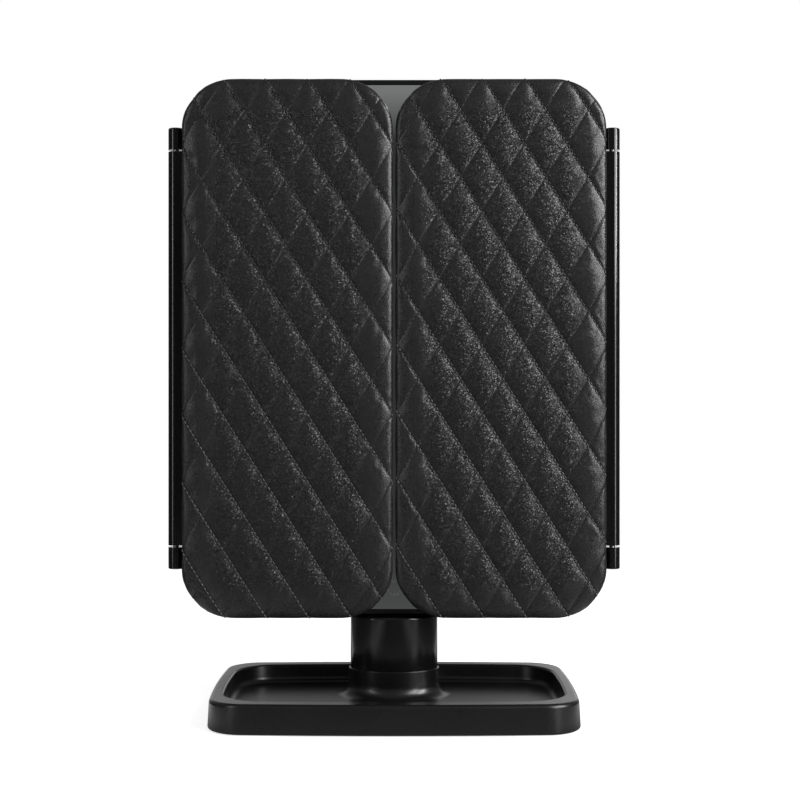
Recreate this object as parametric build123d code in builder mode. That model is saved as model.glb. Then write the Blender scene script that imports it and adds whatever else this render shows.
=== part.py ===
from build123d import *
import math
import os

os.makedirs("parts", exist_ok=True)

# Trifold vanity mirror, shut. Millimetres. X to the user's right, Y away from the user, Z up.
# The origin is on the table, under the middle of the tray.

# ---- Clearances ----
running_fit = 0.05      # radial, shaft in a hole
still_fit = 0.03        # radial, pin or screw that does not turn
seat_gap = 0.1          # between flat pieces of one body
moving_gap = 0.3        # between pieces that move past each other

# ---- Tray base ----
tray_width = 185.6      # across the bowed sides at the rim
tray_depth = 119.0      # across the bowed front and back at the rim
tray_side_bow = 2.3
tray_front_bow = 3.0
tray_corner = 18.5
tray_height = 15.3      # table to the top of the rim
tray_lift = 0.5         # table to the tray's lower edge
tray_spread = 0.8       # how far the outer wall leans out at its foot
tray_foot_round = 1.2
rim_width = 9.0         # at the front and back
rim_side_width = 6.2
recess_corner = 22.0
recess_lean = 0.9       # how far the inner wall leans in at the floor
floor_thickness = 1.8
tray_wall = 2.0
rim_thickness = 2.0
recess_wall = 1.6       # at the rim, between the recess and the hollow round it
boss_width = 48.0
boss_depth = 36.0
boss_rise = 4.4         # above the rim
boss_from_back = 40.0   # centre of the neck from the tray's back edge
boss_flare = 6.4
boss_rim_round = 0.3
boss_wall = 2.2

cover_thickness = 1.5
weight_thickness = 1.5
weight_from_side = 17.8
weight_from_front = 13.5
weight_corner = 10.0
foot_radius = 6.0
foot_sink = 0.8         # depth of the foot's seat in the cover
foot_from_side = 18.8
foot_from_front = 17.5
cover_post_radius = 3.2
cover_post_from_side = 32.8
cover_screw_head = 2.1
cover_screw_shank = 1.1
cover_screw_length = 7.0

# ---- Neck ----
neck_width = 46.4
neck_depth = 34.4
neck_wall = 2.4
neck_height = 28.3      # of the oval column, up to its shoulder
neck_shoulder_round = 1.0
neck_cap = 4.0          # between the shoulder and the neck's hollow
tongue_width = 45.0
tongue_depth = 13.0
barrel_radius = 7.6
neck_screw_x = 12.0
neck_screw_y = 6.5      # off the neck's centre
neck_screw_head = 2.7
neck_screw_shank = 1.4
neck_screw_head_height = 1.8
strap_width = 24.0
strap_thickness = 2.0
strap_foot_width = 32.0
strap_foot_depth = 17.6
shell_screw_rise = 14.3 # above the boss
shell_screw_x = 16.0
shell_screw_post = 3.0
shell_screw_seat = 4.5   # behind the parting plane

# ---- Tilt hinge ----
pivot_behind_neck = 3.5
pivot_rise = 21.0       # above the centre mirror's lower edge
shaft_radius = 2.5
shaft_end_radius = 1.8  # threaded ends
shaft_end_spare = 0.6   # thread past each nut
pocket_width = 50.0
pocket_wall = 1.6
pocket_face = 1.4       # wall between the pocket and the glass
pocket_headroom = 2.4   # above the barrel
lug_radius = 5.0
lug_length = 4.5
washer_radius = 6.4
friction_washer_thickness = 1.2
nut_corner_radius = 3.75
nut_length = 3.0

# ---- Centre mirror ----
head_width = 220.8
head_above_neck = 1.0
head_corner = 27.0
head_before_pivot = 14.0
frame_depth = 4.0
head_depth = 20.0
head_wall = 2.0
head_back_round = 6.0
frame_border = 2.4
ledge_width = 3.6
glass_inset = 0.3
glass_thickness = 2.0
glass_play = 0.15
backing_thickness = 1.4
backing_margin = 11.0   # at the top and bottom, clear of the frame posts
light_from_edge = 11.4  # centre of each light strip from the side
light_from_end = 26.15  # end of each light strip from the top and bottom
light_width = 7.0
light_length = 230.0
led_board_thickness = 1.2
led_board_stand = 2.4   # behind the backing plate
led_count = 11
led_width = 2.8
led_height = 3.5
led_thickness = 1.2
touch_radius = 6.0
touch_thickness = 0.5
touch_rise = 14.0       # above the centre mirror's lower edge

frame_post_radius = 2.8
frame_post_reach = 12.0 # from the front of the frame
frame_post_inset = 6.8
frame_screw_head = 2.5
frame_screw_head_height = 1.6
frame_screw_shank = 1.15
frame_screw_length = 9.0
top_post_xs = (-70.0, 0.0, 70.0)
bottom_post_xs = (-70.0, -37.0, 37.0, 70.0)

# ---- Battery bay ----
cell_radius = 5.25
cell_length = 44.5
cell_count = 4
cell_pitch = 11.0
bay_wall = 1.4
bay_rise = 123.0        # above the centre mirror's lower edge
spring_space = 5.5
contact_thickness = 0.4
battery_cover_thickness = 1.4
battery_cover_lip = 4.0
battery_cover_gap = 0.3
grip_count = 4
grip_pitch = 4.0

# ---- Electronics ----
board_thickness = 1.6
control_board_width = 34.0
control_board_height = 30.0
control_board_x = 62.0
control_board_rise = 147.0
board_post_radius = 2.2
board_post_height = 5.4
usb_x = 55.0
switch_x = -55.0
port_rise = 23.0        # above the centre mirror's lower edge
usb_width = 7.6
usb_height = 2.7
usb_length = 6.5
usb_board_width = 14.0
usb_board_height = 12.0
switch_width = 14.0
switch_height = 7.0
switch_depth = 6.0
knob_width = 4.0
knob_height = 4.0
knob_stand = 1.4
knob_travel = 2.5

# ---- Wings ----
wing_drop = 0.6         # below the centre mirror's lower edge
wing_top_step = 1.4     # below the centre mirror's top
wing_corner = 26.5
wing_overhang = 0.3     # past the side of the centre mirror
wing_seam = 1.9         # between the two wings
wing_gap = 1.0          # between the wings and the centre mirror
leather_thickness = 0.8
foam_thickness = 2.0
board_depth = 1.5
wing_shell_depth = 5.2
leather_round = 2.0
wing_glass_border = 2.6
wing_glass_thickness = 2.0
pane_width = 92.0
pane_height = 118.0
pane_corner = 24.0
pane_thickness = 1.2
upper_pane_radius = 1500.0   # spherical, about twofold at arm's length
lower_pane_radius = 1000.0   # spherical, about threefold at arm's length

# ---- Wing hinges ----
tube_radius = 4.0
tube_from_bottom = 24.3 # from the centre mirror's lower edge
tube_from_top = 25.9
end_knuckle = 11.5
knuckle_gap = 1.0
hinge_pin_radius = 1.5
pin_hold = 8.0          # length held in the end knuckle
bush_length = 8.0
bush_radius = 2.7
web_thickness = 3.4

# ---- Worked out from the sizes above ----
cover_top = tray_lift + cover_thickness
weight_top = cover_top + weight_thickness
weight_width = tray_width - 2 * weight_from_side
weight_depth = tray_depth - 2 * weight_from_front
floor_under = weight_top + 2 * seat_gap
floor_top = floor_under + floor_thickness
foot_top = tray_lift + foot_sink
foot_x = tray_width / 2 - foot_from_side
foot_y = tray_depth / 2 - foot_from_front
boss_top = tray_height + boss_rise
boss_y = tray_depth / 2 - boss_from_back
boss_under = boss_top - boss_wall
hollow_inset = rim_width - recess_wall
hollow_top = tray_height - rim_thickness
hollow_middle = (tray_wall + hollow_inset) / 2
cover_post_x = tray_width / 2 - cover_post_from_side
post_bow = tray_front_bow * (cover_post_x / (tray_width / 2 - tray_side_bow)) ** 2
cover_post_y = tray_depth / 2 - post_bow - hollow_middle
neck_shoulder = boss_top + neck_height
neck_floor = boss_top + neck_wall
strap_foot_top = neck_floor + strap_thickness
shell_screw_z = boss_top + shell_screw_rise
tongue_inside = tongue_depth - 2 * neck_wall
head_bottom = neck_shoulder + head_above_neck
head_height = light_length + 2 * light_from_end
head_top = head_bottom + head_height
head_z = head_bottom + head_height / 2
pivot_y = boss_y + pivot_behind_neck
pivot_z = head_bottom + pivot_rise
head_front = pivot_y - head_before_pivot
head_back = head_front + head_depth
frame_back = head_front + frame_depth
frame_post_end = head_front + frame_post_reach
glass_front = head_front + glass_inset
glass_back = glass_front + glass_thickness
ledge_front = glass_back + seat_gap
backing_back = ledge_front + backing_thickness
led_front = backing_back + led_board_stand
light_x = head_width / 2 - light_from_edge
touch_z = head_bottom + touch_rise
control_board_z = head_bottom + control_board_rise
port_z = head_bottom + port_rise
wing_bottom = head_bottom - wing_drop
wing_height = head_top - wing_top_step - wing_bottom
wing_outer = head_width / 2 + wing_overhang
wing_width = wing_outer - wing_seam / 2
wing_x = wing_outer - wing_width / 2
wing_z = wing_bottom + wing_height / 2
wing_back = head_front - wing_gap
shell_front = wing_back - wing_shell_depth
board_front = shell_front - board_depth
foam_front = board_front - foam_thickness
wing_front = foam_front - leather_thickness
hinge_x = wing_outer + moving_gap + tube_radius
hinge_y = (wing_back + head_front) / 2
tube_bottom = head_bottom + tube_from_bottom
tube_top = head_top - tube_from_top
lower_gap_z = tube_bottom + end_knuckle
upper_gap_z = tube_top - end_knuckle
long_knuckle_bottom = lower_gap_z + knuckle_gap
long_knuckle_top = upper_gap_z - knuckle_gap
pocket_front = pivot_y - barrel_radius - 1.0
pocket_top = pivot_z + barrel_radius + pocket_headroom
spring_washer_thickness = (pocket_width - tongue_width) / 2 - friction_washer_thickness - 3 * seat_gap
lug_end = pocket_width / 2 + lug_length
shell_inside = head_back - head_wall
bay_bottom = head_bottom + bay_rise
bay_width = cell_pitch * cell_count + 2.0
bay_height = cell_length + spring_space + 2 * contact_thickness + 3 * seat_gap
bay_z = bay_bottom + bay_height / 2
cover_ledge = head_back - battery_cover_thickness - moving_gap
cell_y = cover_ledge - cell_radius - 0.8
bay_floor = cell_y - cell_radius - 0.6
cell_bottom = bay_bottom + contact_thickness + spring_space
cell_xs = [(i - (cell_count - 1) / 2) * cell_pitch for i in range(cell_count)]
battery_cover_width = bay_width + 2 * battery_cover_lip
battery_cover_height = bay_height + 2 * battery_cover_lip


# ---- Shared shapes ----
def facing(y):
    """The upright plane at depth y, with X to the right and Z up."""
    return Plane.XZ.offset(-y)


def slab(width, height, corner, x, z, front, back, mode=Mode.ADD):
    """A panel with rounded corners, from its front depth to its back depth."""
    with BuildSketch(facing(front)) as outline:
        with Locations((x, z)):
            RectangleRounded(width, height, corner)
    extrude(outline.sketch, amount=front - back, mode=mode)


def box(x_from, x_to, y_from, y_to, z_from, z_to, mode=Mode.ADD):
    """A plain block between two corners."""
    with BuildSketch(Plane.XY.offset(z_from)) as outline:
        with Locations(((x_from + x_to) / 2, (y_from + y_to) / 2)):
            Rectangle(x_to - x_from, y_to - y_from)
    extrude(outline.sketch, amount=z_to - z_from, mode=mode)


def upright(radius, x, y, z_from, z_to, mode=Mode.ADD):
    """A vertical cylinder."""
    with BuildSketch(Plane.XY.offset(z_from)) as outline:
        with Locations((x, y)):
            Circle(radius)
    extrude(outline.sketch, amount=z_to - z_from, mode=mode)


def post(radius, x, z, front, back, mode=Mode.ADD):
    """A cylinder that runs from front to back."""
    with BuildSketch(facing(front)) as outline:
        with Locations((x, z)):
            Circle(radius)
    extrude(outline.sketch, amount=front - back, mode=mode)


def crossbar(radius, x_from, x_to, mode=Mode.ADD):
    """A cylinder along X on the tilt axis."""
    with BuildSketch(Plane.YZ.offset(x_from)) as outline:
        with Locations((pivot_y, pivot_z)):
            Circle(radius)
    extrude(outline.sketch, amount=x_to - x_from, mode=mode)


def bowed_outline(side, end, corner, z):
    """An outline with four bowed sides, at one height; side and end are its half width and depth."""
    corner_x = side - tray_side_bow
    corner_y = end - tray_front_bow
    with BuildSketch(Plane.XY.offset(z)) as outline:
        with BuildLine():
            ThreePointArc((-corner_x, -corner_y), (0, -end), (corner_x, -corner_y))
            ThreePointArc((corner_x, -corner_y), (side, 0), (corner_x, corner_y))
            ThreePointArc((corner_x, corner_y), (0, end), (-corner_x, corner_y))
            ThreePointArc((-corner_x, corner_y), (-side, 0), (-corner_x, -corner_y))
        make_face()
        fillet(outline.vertices(), radius=corner)
    return outline.sketch


def tray_outline(inset, z):
    """The tray's outline, drawn in by inset."""
    return bowed_outline(tray_width / 2 - inset, tray_depth / 2 - inset, tray_corner - inset, z)


def recess_outline(inset, z):
    """The outline of the tray's recess at its rim, drawn in by inset."""
    return bowed_outline(tray_width / 2 - rim_side_width - inset, tray_depth / 2 - rim_width - inset,
                         recess_corner - inset, z)


def tray_slab(inset, z_from, z_to, mode=Mode.ADD):
    """A straight-sided block of the tray's outline."""
    extrude(tray_outline(inset, z_from), amount=z_to - z_from, mode=mode)


def oval(width, depth, z_from, z_to, mode=Mode.ADD):
    """An upright oval block round the neck's centre line."""
    with BuildSketch(Plane.XY.offset(z_from)) as outline:
        with Locations((0, boss_y)):
            Ellipse(width / 2, depth / 2)
    extrude(outline.sketch, amount=z_to - z_from, mode=mode)


def save(name, piece, label):
    """Label a finished piece and write its file."""
    piece.label = label
    export_step(piece, f"parts/{name}.step")


# ---- Tray base ----
with BuildPart() as tray_base:
    loft([tray_outline(0, tray_height).face(), tray_outline(-tray_spread, tray_lift).face()])
    rim_edges = tray_base.faces().sort_by(Axis.Z)[-1].edges()
    fillet(rim_edges, radius=2.0)
    fillet(tray_base.faces().sort_by(Axis.Z)[0].edges(), radius=tray_foot_round)
    loft([recess_outline(0, tray_height).face(), recess_outline(recess_lean, floor_top).face()],
         mode=Mode.SUBTRACT)
    recess_floor = tray_base.faces().filter_by(Plane.XY).filter_by_position(
        Axis.Z, floor_top - 0.1, floor_top + 0.1)
    fillet(recess_floor.edges(), radius=3.5)
    rim_top = tray_base.faces().filter_by(Plane.XY).sort_by(Axis.Z)[-1]
    fillet(rim_top.inner_wires().edges(), radius=1.2)
    oval(boss_width, boss_depth, floor_top, boss_top)
    boss_foot = tray_base.edges().filter_by(GeomType.ELLIPSE).group_by(Axis.Z)[0]
    fillet(boss_foot, radius=boss_flare)
    boss_rim = tray_base.faces().sort_by(Axis.Z)[-1].edges()
    fillet(boss_rim, radius=boss_rim_round)
    tray_slab(tray_wall, tray_lift, floor_under, mode=Mode.SUBTRACT)
    with BuildSketch(Plane.XY.offset(floor_under)):
        add(tray_outline(tray_wall, 0))
        add(recess_outline(-recess_wall, 0), mode=Mode.SUBTRACT)
    extrude(amount=hollow_top - floor_under, mode=Mode.SUBTRACT)
    oval(boss_width - 2 * boss_wall, boss_depth - 2 * boss_wall, tray_lift, boss_under,
         mode=Mode.SUBTRACT)
    for x in (-cover_post_x, cover_post_x):
        for y in (-cover_post_y, cover_post_y):
            upright(cover_post_radius, x, y, cover_top, hollow_top)
            upright(cover_screw_shank + still_fit, x, y, cover_top, cover_top + cover_screw_length,
                    mode=Mode.SUBTRACT)
    for x in (-neck_screw_x, neck_screw_x):
        for y in (boss_y - neck_screw_y, boss_y + neck_screw_y):
            upright(neck_screw_shank + still_fit, x, y, boss_under, boss_top, mode=Mode.SUBTRACT)
save("tray_base", tray_base.part, "tray_base")

with BuildPart() as base_cover:
    tray_slab(tray_wall + seat_gap, tray_lift, cover_top)
    for x in (-foot_x, foot_x):
        for y in (-foot_y, foot_y):
            upright(foot_radius + still_fit, x, y, tray_lift, foot_top, mode=Mode.SUBTRACT)
    for x in (-cover_post_x, cover_post_x):
        for y in (-cover_post_y, cover_post_y):
            with Locations(Plane(origin=(x, y, tray_lift), z_dir=(0, 0, -1))):
                CounterSinkHole(cover_screw_shank + still_fit, cover_screw_head + still_fit,
                                depth=cover_thickness, counter_sink_angle=90)
save("base_cover", base_cover.part, "base_cover")

with BuildPart() as base_weight:
    with BuildSketch(Plane.XY.offset(cover_top)):
        RectangleRounded(weight_width, weight_depth, weight_corner)
        with Locations((0, boss_y)):
            Ellipse(boss_width / 2, boss_depth / 2, mode=Mode.SUBTRACT)
    extrude(amount=weight_thickness)
save("base_weight", base_weight.part, "base_weight")

with BuildPart() as rubber_feet:
    for x in (-foot_x, foot_x):
        for y in (-foot_y, foot_y):
            upright(foot_radius, x, y, 0, foot_top)
    fillet(rubber_feet.faces().filter_by(Plane.XY).group_by(Axis.Z)[0].edges(), radius=0.3)
save("rubber_feet", rubber_feet.part, "rubber_feet")

with BuildPart() as base_cover_screws:
    for x in (-cover_post_x, cover_post_x):
        for y in (-cover_post_y, cover_post_y):
            upright(cover_screw_shank, x, y, tray_lift + 0.1, cover_top + cover_screw_length - 0.4)
            sink = cover_screw_head - cover_screw_shank
            with BuildSketch(Plane.XY.offset(tray_lift + 0.1)) as head:
                with Locations((x, y)):
                    Circle(cover_screw_head - 0.1)
            extrude(head.sketch, amount=sink - 0.1, taper=45)
save("base_cover_screws", base_cover_screws.part, "base_cover_screws")


# ---- Neck ----
def neck_holes():
    """The neck's hollow, the bore of its barrel and the holes in its floor."""
    oval(neck_width - 2 * neck_wall, neck_depth - 2 * neck_wall, neck_floor,
         neck_shoulder - neck_cap, mode=Mode.SUBTRACT)
    inside_x = tongue_width / 2 - neck_wall
    box(-inside_x, inside_x, pivot_y - tongue_inside / 2, pivot_y + tongue_inside / 2,
        neck_floor, strap_top + seat_gap, mode=Mode.SUBTRACT)
    crossbar(shaft_radius + running_fit, -tongue_width, tongue_width, mode=Mode.SUBTRACT)
    for x, y in neck_screw_places:
        upright(neck_screw_shank + still_fit, x, y, boss_top, neck_floor, mode=Mode.SUBTRACT)


def neck_tongue():
    """The flat tongue behind the mirror, and the barrel on its top."""
    box(-tongue_width / 2, tongue_width / 2, pivot_y - tongue_depth / 2, pivot_y + tongue_depth / 2,
        neck_shoulder - neck_cap, pivot_z)
    crossbar(barrel_radius, -tongue_width / 2, tongue_width / 2)


neck_screw_places = [(x, boss_y + y) for x in (-neck_screw_x, neck_screw_x)
                     for y in (-neck_screw_y, neck_screw_y)]
strap_top = pivot_z - shaft_radius - neck_wall
shell_post_front = boss_y - neck_depth / 4
shell_screw_head_y = pivot_y + shell_screw_seat

with BuildPart() as neck_front_shell:
    oval(neck_width, neck_depth, boss_top, neck_shoulder)
    fillet(neck_front_shell.faces().sort_by(Axis.Z)[-1].edges(), radius=neck_shoulder_round)
    neck_tongue()
    neck_holes()
    split(bisect_by=facing(pivot_y), keep=Keep.TOP)
    for x in (-shell_screw_x, shell_screw_x):
        post(shell_screw_post, x, shell_screw_z, shell_post_front, pivot_y - seat_gap)
        post(frame_screw_shank + still_fit, x, shell_screw_z, shell_post_front + neck_wall, pivot_y,
             mode=Mode.SUBTRACT)
save("neck_front_shell", neck_front_shell.part, "neck_front_shell")

with BuildPart() as neck_rear_shell:
    oval(neck_width, neck_depth, boss_top, neck_shoulder)
    fillet(neck_rear_shell.faces().sort_by(Axis.Z)[-1].edges(), radius=neck_shoulder_round)
    neck_tongue()
    neck_holes()
    split(bisect_by=facing(pivot_y), keep=Keep.BOTTOM)
    for x in (-shell_screw_x, shell_screw_x):
        post(shell_screw_post + 0.6, x, shell_screw_z, pivot_y + seat_gap, shell_screw_head_y + neck_wall)
        post(frame_screw_shank + still_fit, x, shell_screw_z, pivot_y, shell_screw_head_y,
             mode=Mode.SUBTRACT)
        post(frame_screw_head + still_fit, x, shell_screw_z, shell_screw_head_y, boss_y + neck_depth,
             mode=Mode.SUBTRACT)
save("neck_rear_shell", neck_rear_shell.part, "neck_rear_shell")

with BuildPart() as neck_strap:
    box(-strap_foot_width / 2, strap_foot_width / 2, boss_y - strap_foot_depth / 2,
        boss_y + strap_foot_depth / 2, neck_floor, strap_foot_top)
    box(-strap_width / 2, strap_width / 2, pivot_y - strap_thickness / 2, pivot_y + strap_thickness / 2,
        strap_foot_top, strap_top)
    for x, y in neck_screw_places:
        upright(neck_screw_shank + still_fit, x, y, neck_floor, strap_foot_top, mode=Mode.SUBTRACT)
save("neck_strap", neck_strap.part, "neck_strap")

with BuildPart() as neck_screws:
    for x, y in neck_screw_places:
        upright(neck_screw_head, x, y, boss_under - neck_screw_head_height, boss_under)
        upright(neck_screw_shank, x, y, boss_under, strap_foot_top + 1.0)
save("neck_screws", neck_screws.part, "neck_screws")

with BuildPart() as neck_shell_screws:
    for x in (-shell_screw_x, shell_screw_x):
        post(frame_screw_shank, x, shell_screw_z, shell_post_front + neck_wall + 1.0, shell_screw_head_y)
        post(frame_screw_head, x, shell_screw_z, shell_screw_head_y,
             shell_screw_head_y + frame_screw_head_height)
save("neck_shell_screws", neck_shell_screws.part, "neck_shell_screws")

# ---- Tilt hinge ----
with BuildPart() as tilt_shaft:
    crossbar(shaft_radius, -lug_end, lug_end)
    shaft_end = lug_end + nut_length + shaft_end_spare
    crossbar(shaft_end_radius, -shaft_end, shaft_end)
save("tilt_shaft", tilt_shaft.part, "tilt_shaft")


def rings(radius, hole, x_from, x_to):
    """A pair of rings on the tilt axis, one on each side."""
    for near, far in ((x_from, x_to), (-x_to, -x_from)):
        crossbar(radius, near, far)
    crossbar(hole, -x_to - 1.0, x_to + 1.0, mode=Mode.SUBTRACT)


friction_start = tongue_width / 2 + seat_gap
spring_start = friction_start + friction_washer_thickness + seat_gap / 2
with BuildPart() as friction_washers:
    rings(washer_radius, shaft_radius + running_fit, friction_start,
          friction_start + friction_washer_thickness)
save("friction_washers", friction_washers.part, "friction_washers")

with BuildPart() as spring_washers:
    rings(washer_radius - 0.6, shaft_radius + running_fit, spring_start,
          spring_start + spring_washer_thickness)
save("spring_washers", spring_washers.part, "spring_washers")

with BuildPart() as shaft_nuts:
    for x in (lug_end, -lug_end - nut_length):
        with BuildSketch(Plane.YZ.offset(x)) as nut:
            with Locations((pivot_y, pivot_z)):
                RegularPolygon(nut_corner_radius, 6)
                Circle(shaft_end_radius + still_fit, mode=Mode.SUBTRACT)
        extrude(nut.sketch, amount=nut_length)
save("shaft_nuts", shaft_nuts.part, "shaft_nuts")


# ---- Centre mirror ----
def head_slab(inset, front, back, mode=Mode.ADD):
    """A slab of the centre mirror's outline, drawn in by inset."""
    slab(head_width - 2 * inset, head_height - 2 * inset, head_corner - inset, 0, head_z,
         front, back, mode=mode)


frame_screw_places = [(x, head_top - frame_post_inset) for x in top_post_xs]
frame_screw_places += [(x, head_bottom + frame_post_inset) for x in bottom_post_xs]
frame_screw_seat = frame_post_end + 2.0
end_knuckles = ((tube_bottom, lower_gap_z), (upper_gap_z, tube_top))
pin_spans = ((lower_gap_z - pin_hold, long_knuckle_bottom + bush_length),
             (long_knuckle_top - bush_length, upper_gap_z + pin_hold))

with BuildPart() as centre_frame:
    head_slab(0, head_front, frame_back)
    fillet(centre_frame.faces().sort_by(Axis.Y)[0].edges(), radius=0.8)
    head_slab(frame_border, head_front, ledge_front, mode=Mode.SUBTRACT)
    head_slab(frame_border + ledge_width, ledge_front, frame_back, mode=Mode.SUBTRACT)
    for x, z in frame_screw_places:
        post(frame_post_radius, x, z, ledge_front, frame_post_end)
        post(frame_screw_shank + still_fit, x, z, frame_back, frame_post_end, mode=Mode.SUBTRACT)
    for side in (-1, 1):
        for z_from, z_to in end_knuckles:
            upright(tube_radius, side * hinge_x, hinge_y, z_from, z_to)
    tube_ends = centre_frame.edges().filter_by(GeomType.CIRCLE).filter_by(Axis.Z, reverse=True)
    tube_ends = tube_ends.filter_by_position(Axis.Z, tube_bottom - 0.1, tube_bottom + 0.1) + \
        tube_ends.filter_by_position(Axis.Z, tube_top - 0.1, tube_top + 0.1)
    fillet(tube_ends, radius=0.8)
    for side in (-1, 1):
        for z_from, z_to in end_knuckles:
            inner, outer = sorted((side * (head_width / 2 - 1.0), side * hinge_x))
            box(inner, outer, head_front, head_front + web_thickness, z_from + 1.0, z_to - 0.2)
        for z_from, z_to in pin_spans:
            upright(hinge_pin_radius + still_fit, side * hinge_x, hinge_y, z_from, z_to,
                    mode=Mode.SUBTRACT)
save("centre_frame", centre_frame.part, "centre_frame")

with BuildPart() as centre_mirror_glass:
    head_slab(frame_border + glass_play, glass_front, glass_back)
    chamfer(centre_mirror_glass.faces().sort_by(Axis.Y)[0].edges(), length=0.3)
save("centre_mirror_glass", centre_mirror_glass.part, "centre_mirror_glass")

rib_start = light_width / 2 + 0.3
rib_width = 1.0
backing_width = head_width - 2 * (frame_border + ledge_width + moving_gap)
with BuildPart() as mirror_backing_plate:
    slab(backing_width, head_height - 2 * backing_margin, head_corner - backing_margin, 0, head_z,
         ledge_front, backing_back)
    for side in (-1, 1):
        for x in (side * light_x - rib_start - rib_width / 2, side * light_x + rib_start + rib_width / 2):
            box(x - rib_width / 2, x + rib_width / 2, backing_back, led_front,
                head_z - light_length / 2, head_z + light_length / 2)
        slab(light_width, light_length, light_width / 2 - 0.1, side * light_x, head_z,
             ledge_front, backing_back, mode=Mode.SUBTRACT)
    post(touch_radius + moving_gap, 0, touch_z, ledge_front, backing_back, mode=Mode.SUBTRACT)
save("mirror_backing_plate", mirror_backing_plate.part, "mirror_backing_plate")

led_pitch = light_length / (led_count + 0.5)
for name, side in (("left", -1), ("right", 1)):
    with BuildPart() as light_diffuser:
        slab(light_width - 2 * seat_gap, light_length - 2 * seat_gap, light_width / 2 - 0.3,
             side * light_x, head_z, ledge_front, backing_back)
    save(f"{name}_light_diffuser", light_diffuser.part, f"{name}_light_diffuser")
    with BuildPart() as led_board:
        board_half = rib_start + rib_width
        box(side * light_x - board_half, side * light_x + board_half, led_front,
            led_front + led_board_thickness, head_z - light_length / 2, head_z + light_length / 2)
    save(f"{name}_led_board", led_board.part, f"{name}_led_board")

with BuildPart() as led_chips:
    for side in (-1, 1):
        for i in range(led_count):
            z = head_z + (i - (led_count - 1) / 2) * led_pitch
            box(side * light_x - led_width / 2, side * light_x + led_width / 2,
                led_front - led_thickness, led_front, z - led_height / 2, z + led_height / 2)
save("led_chips", led_chips.part, "led_chips")

with BuildPart() as touch_sensor_pad:
    post(touch_radius, 0, touch_z, glass_back, glass_back + touch_thickness)
save("touch_sensor_pad", touch_sensor_pad.part, "touch_sensor_pad")

# ---- Back shell ----
board_back = shell_inside - board_post_height
board_front_y = board_back - board_thickness
usb_board_front = head_back - usb_length - board_thickness - 0.2
usb_board_back = usb_board_front + board_thickness
board_post_places = [(control_board_x + dx, control_board_z + dz)
                     for dx, dz in ((-13.0, -11.0), (13.0, 11.0))]
usb_post_places = [(usb_x, port_z - 4.4), (usb_x, port_z + 4.4)]
usb_post_radius = 1.2
slot_width = knob_width + knob_travel + 2 * moving_gap + 0.2
slot_height = knob_height + 2 * moving_gap + 0.2

with BuildPart() as back_hollow:
    head_slab(head_wall, frame_back, shell_inside)
    fillet(back_hollow.faces().sort_by(Axis.Y)[-1].edges(), radius=head_back_round - head_wall)
    pocket_half = pocket_width / 2 + pocket_wall
    box(-pocket_half, pocket_half, pocket_front - pocket_face, head_back, head_bottom,
        pocket_top + pocket_wall, mode=Mode.SUBTRACT)
    crossbar(lug_radius, -lug_end, lug_end, mode=Mode.SUBTRACT)
    slab(bay_width + 2 * bay_wall, bay_height + 2 * bay_wall, 2.0, 0, bay_z,
         bay_floor - bay_wall, head_back, mode=Mode.SUBTRACT)
    slab(battery_cover_width + 2 * bay_wall, battery_cover_height + 2 * bay_wall, 4.0, 0, bay_z,
         cover_ledge - bay_wall, head_back, mode=Mode.SUBTRACT)
    for x, z in frame_screw_places:
        post(frame_screw_head + 1.5, x, z, frame_post_end + seat_gap, head_back, mode=Mode.SUBTRACT)
    for x, z in board_post_places:
        post(board_post_radius, x, z, board_back, head_back, mode=Mode.SUBTRACT)
    for x, z in usb_post_places:
        post(usb_post_radius, x, z, usb_board_back, head_back, mode=Mode.SUBTRACT)

with BuildPart() as centre_back_shell:
    head_slab(0, frame_back, head_back)
    fillet(centre_back_shell.faces().sort_by(Axis.Y)[-1].edges(), radius=head_back_round)
    add(back_hollow.part, mode=Mode.SUBTRACT)
    box(-pocket_width / 2, pocket_width / 2, pocket_front, head_back + 1.0, head_bottom - 1.0,
        pocket_top, mode=Mode.SUBTRACT)
    crossbar(shaft_radius + still_fit, -lug_end - 1.0, lug_end + 1.0, mode=Mode.SUBTRACT)
    slab(bay_width, bay_height, 1.0, 0, bay_z, bay_floor, head_back + 1.0, mode=Mode.SUBTRACT)
    slab(battery_cover_width + 2 * battery_cover_gap, battery_cover_height + 2 * battery_cover_gap, 3.0,
         0, bay_z, cover_ledge, head_back + 1.0, mode=Mode.SUBTRACT)
    for x, z in frame_screw_places:
        post(frame_screw_shank + still_fit, x, z, frame_post_end, head_back, mode=Mode.SUBTRACT)
        post(frame_screw_head + seat_gap, x, z, frame_screw_seat, head_back + 1.0, mode=Mode.SUBTRACT)
        post(frame_post_radius + seat_gap, x, z, frame_back, frame_post_end, mode=Mode.SUBTRACT)
    for x, z in board_post_places:
        post(frame_screw_shank + still_fit, x, z, board_back, shell_inside, mode=Mode.SUBTRACT)
    box(usb_x - usb_width / 2 - moving_gap, usb_x + usb_width / 2 + moving_gap, shell_inside - 1.0,
        head_back + 1.0, port_z - usb_height / 2 - moving_gap, port_z + usb_height / 2 + moving_gap,
        mode=Mode.SUBTRACT)
    box(switch_x - slot_width / 2, switch_x + slot_width / 2, shell_inside - 1.0, head_back + 1.0,
        port_z - slot_height / 2, port_z + slot_height / 2, mode=Mode.SUBTRACT)
save("centre_back_shell", centre_back_shell.part, "centre_back_shell")

with BuildPart() as frame_screws:
    for x, z in frame_screw_places:
        post(frame_screw_shank, x, z, frame_screw_seat - frame_screw_length, frame_screw_seat)
        post(frame_screw_head, x, z, frame_screw_seat, frame_screw_seat + frame_screw_head_height)
save("frame_screws", frame_screws.part, "frame_screws")

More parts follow.
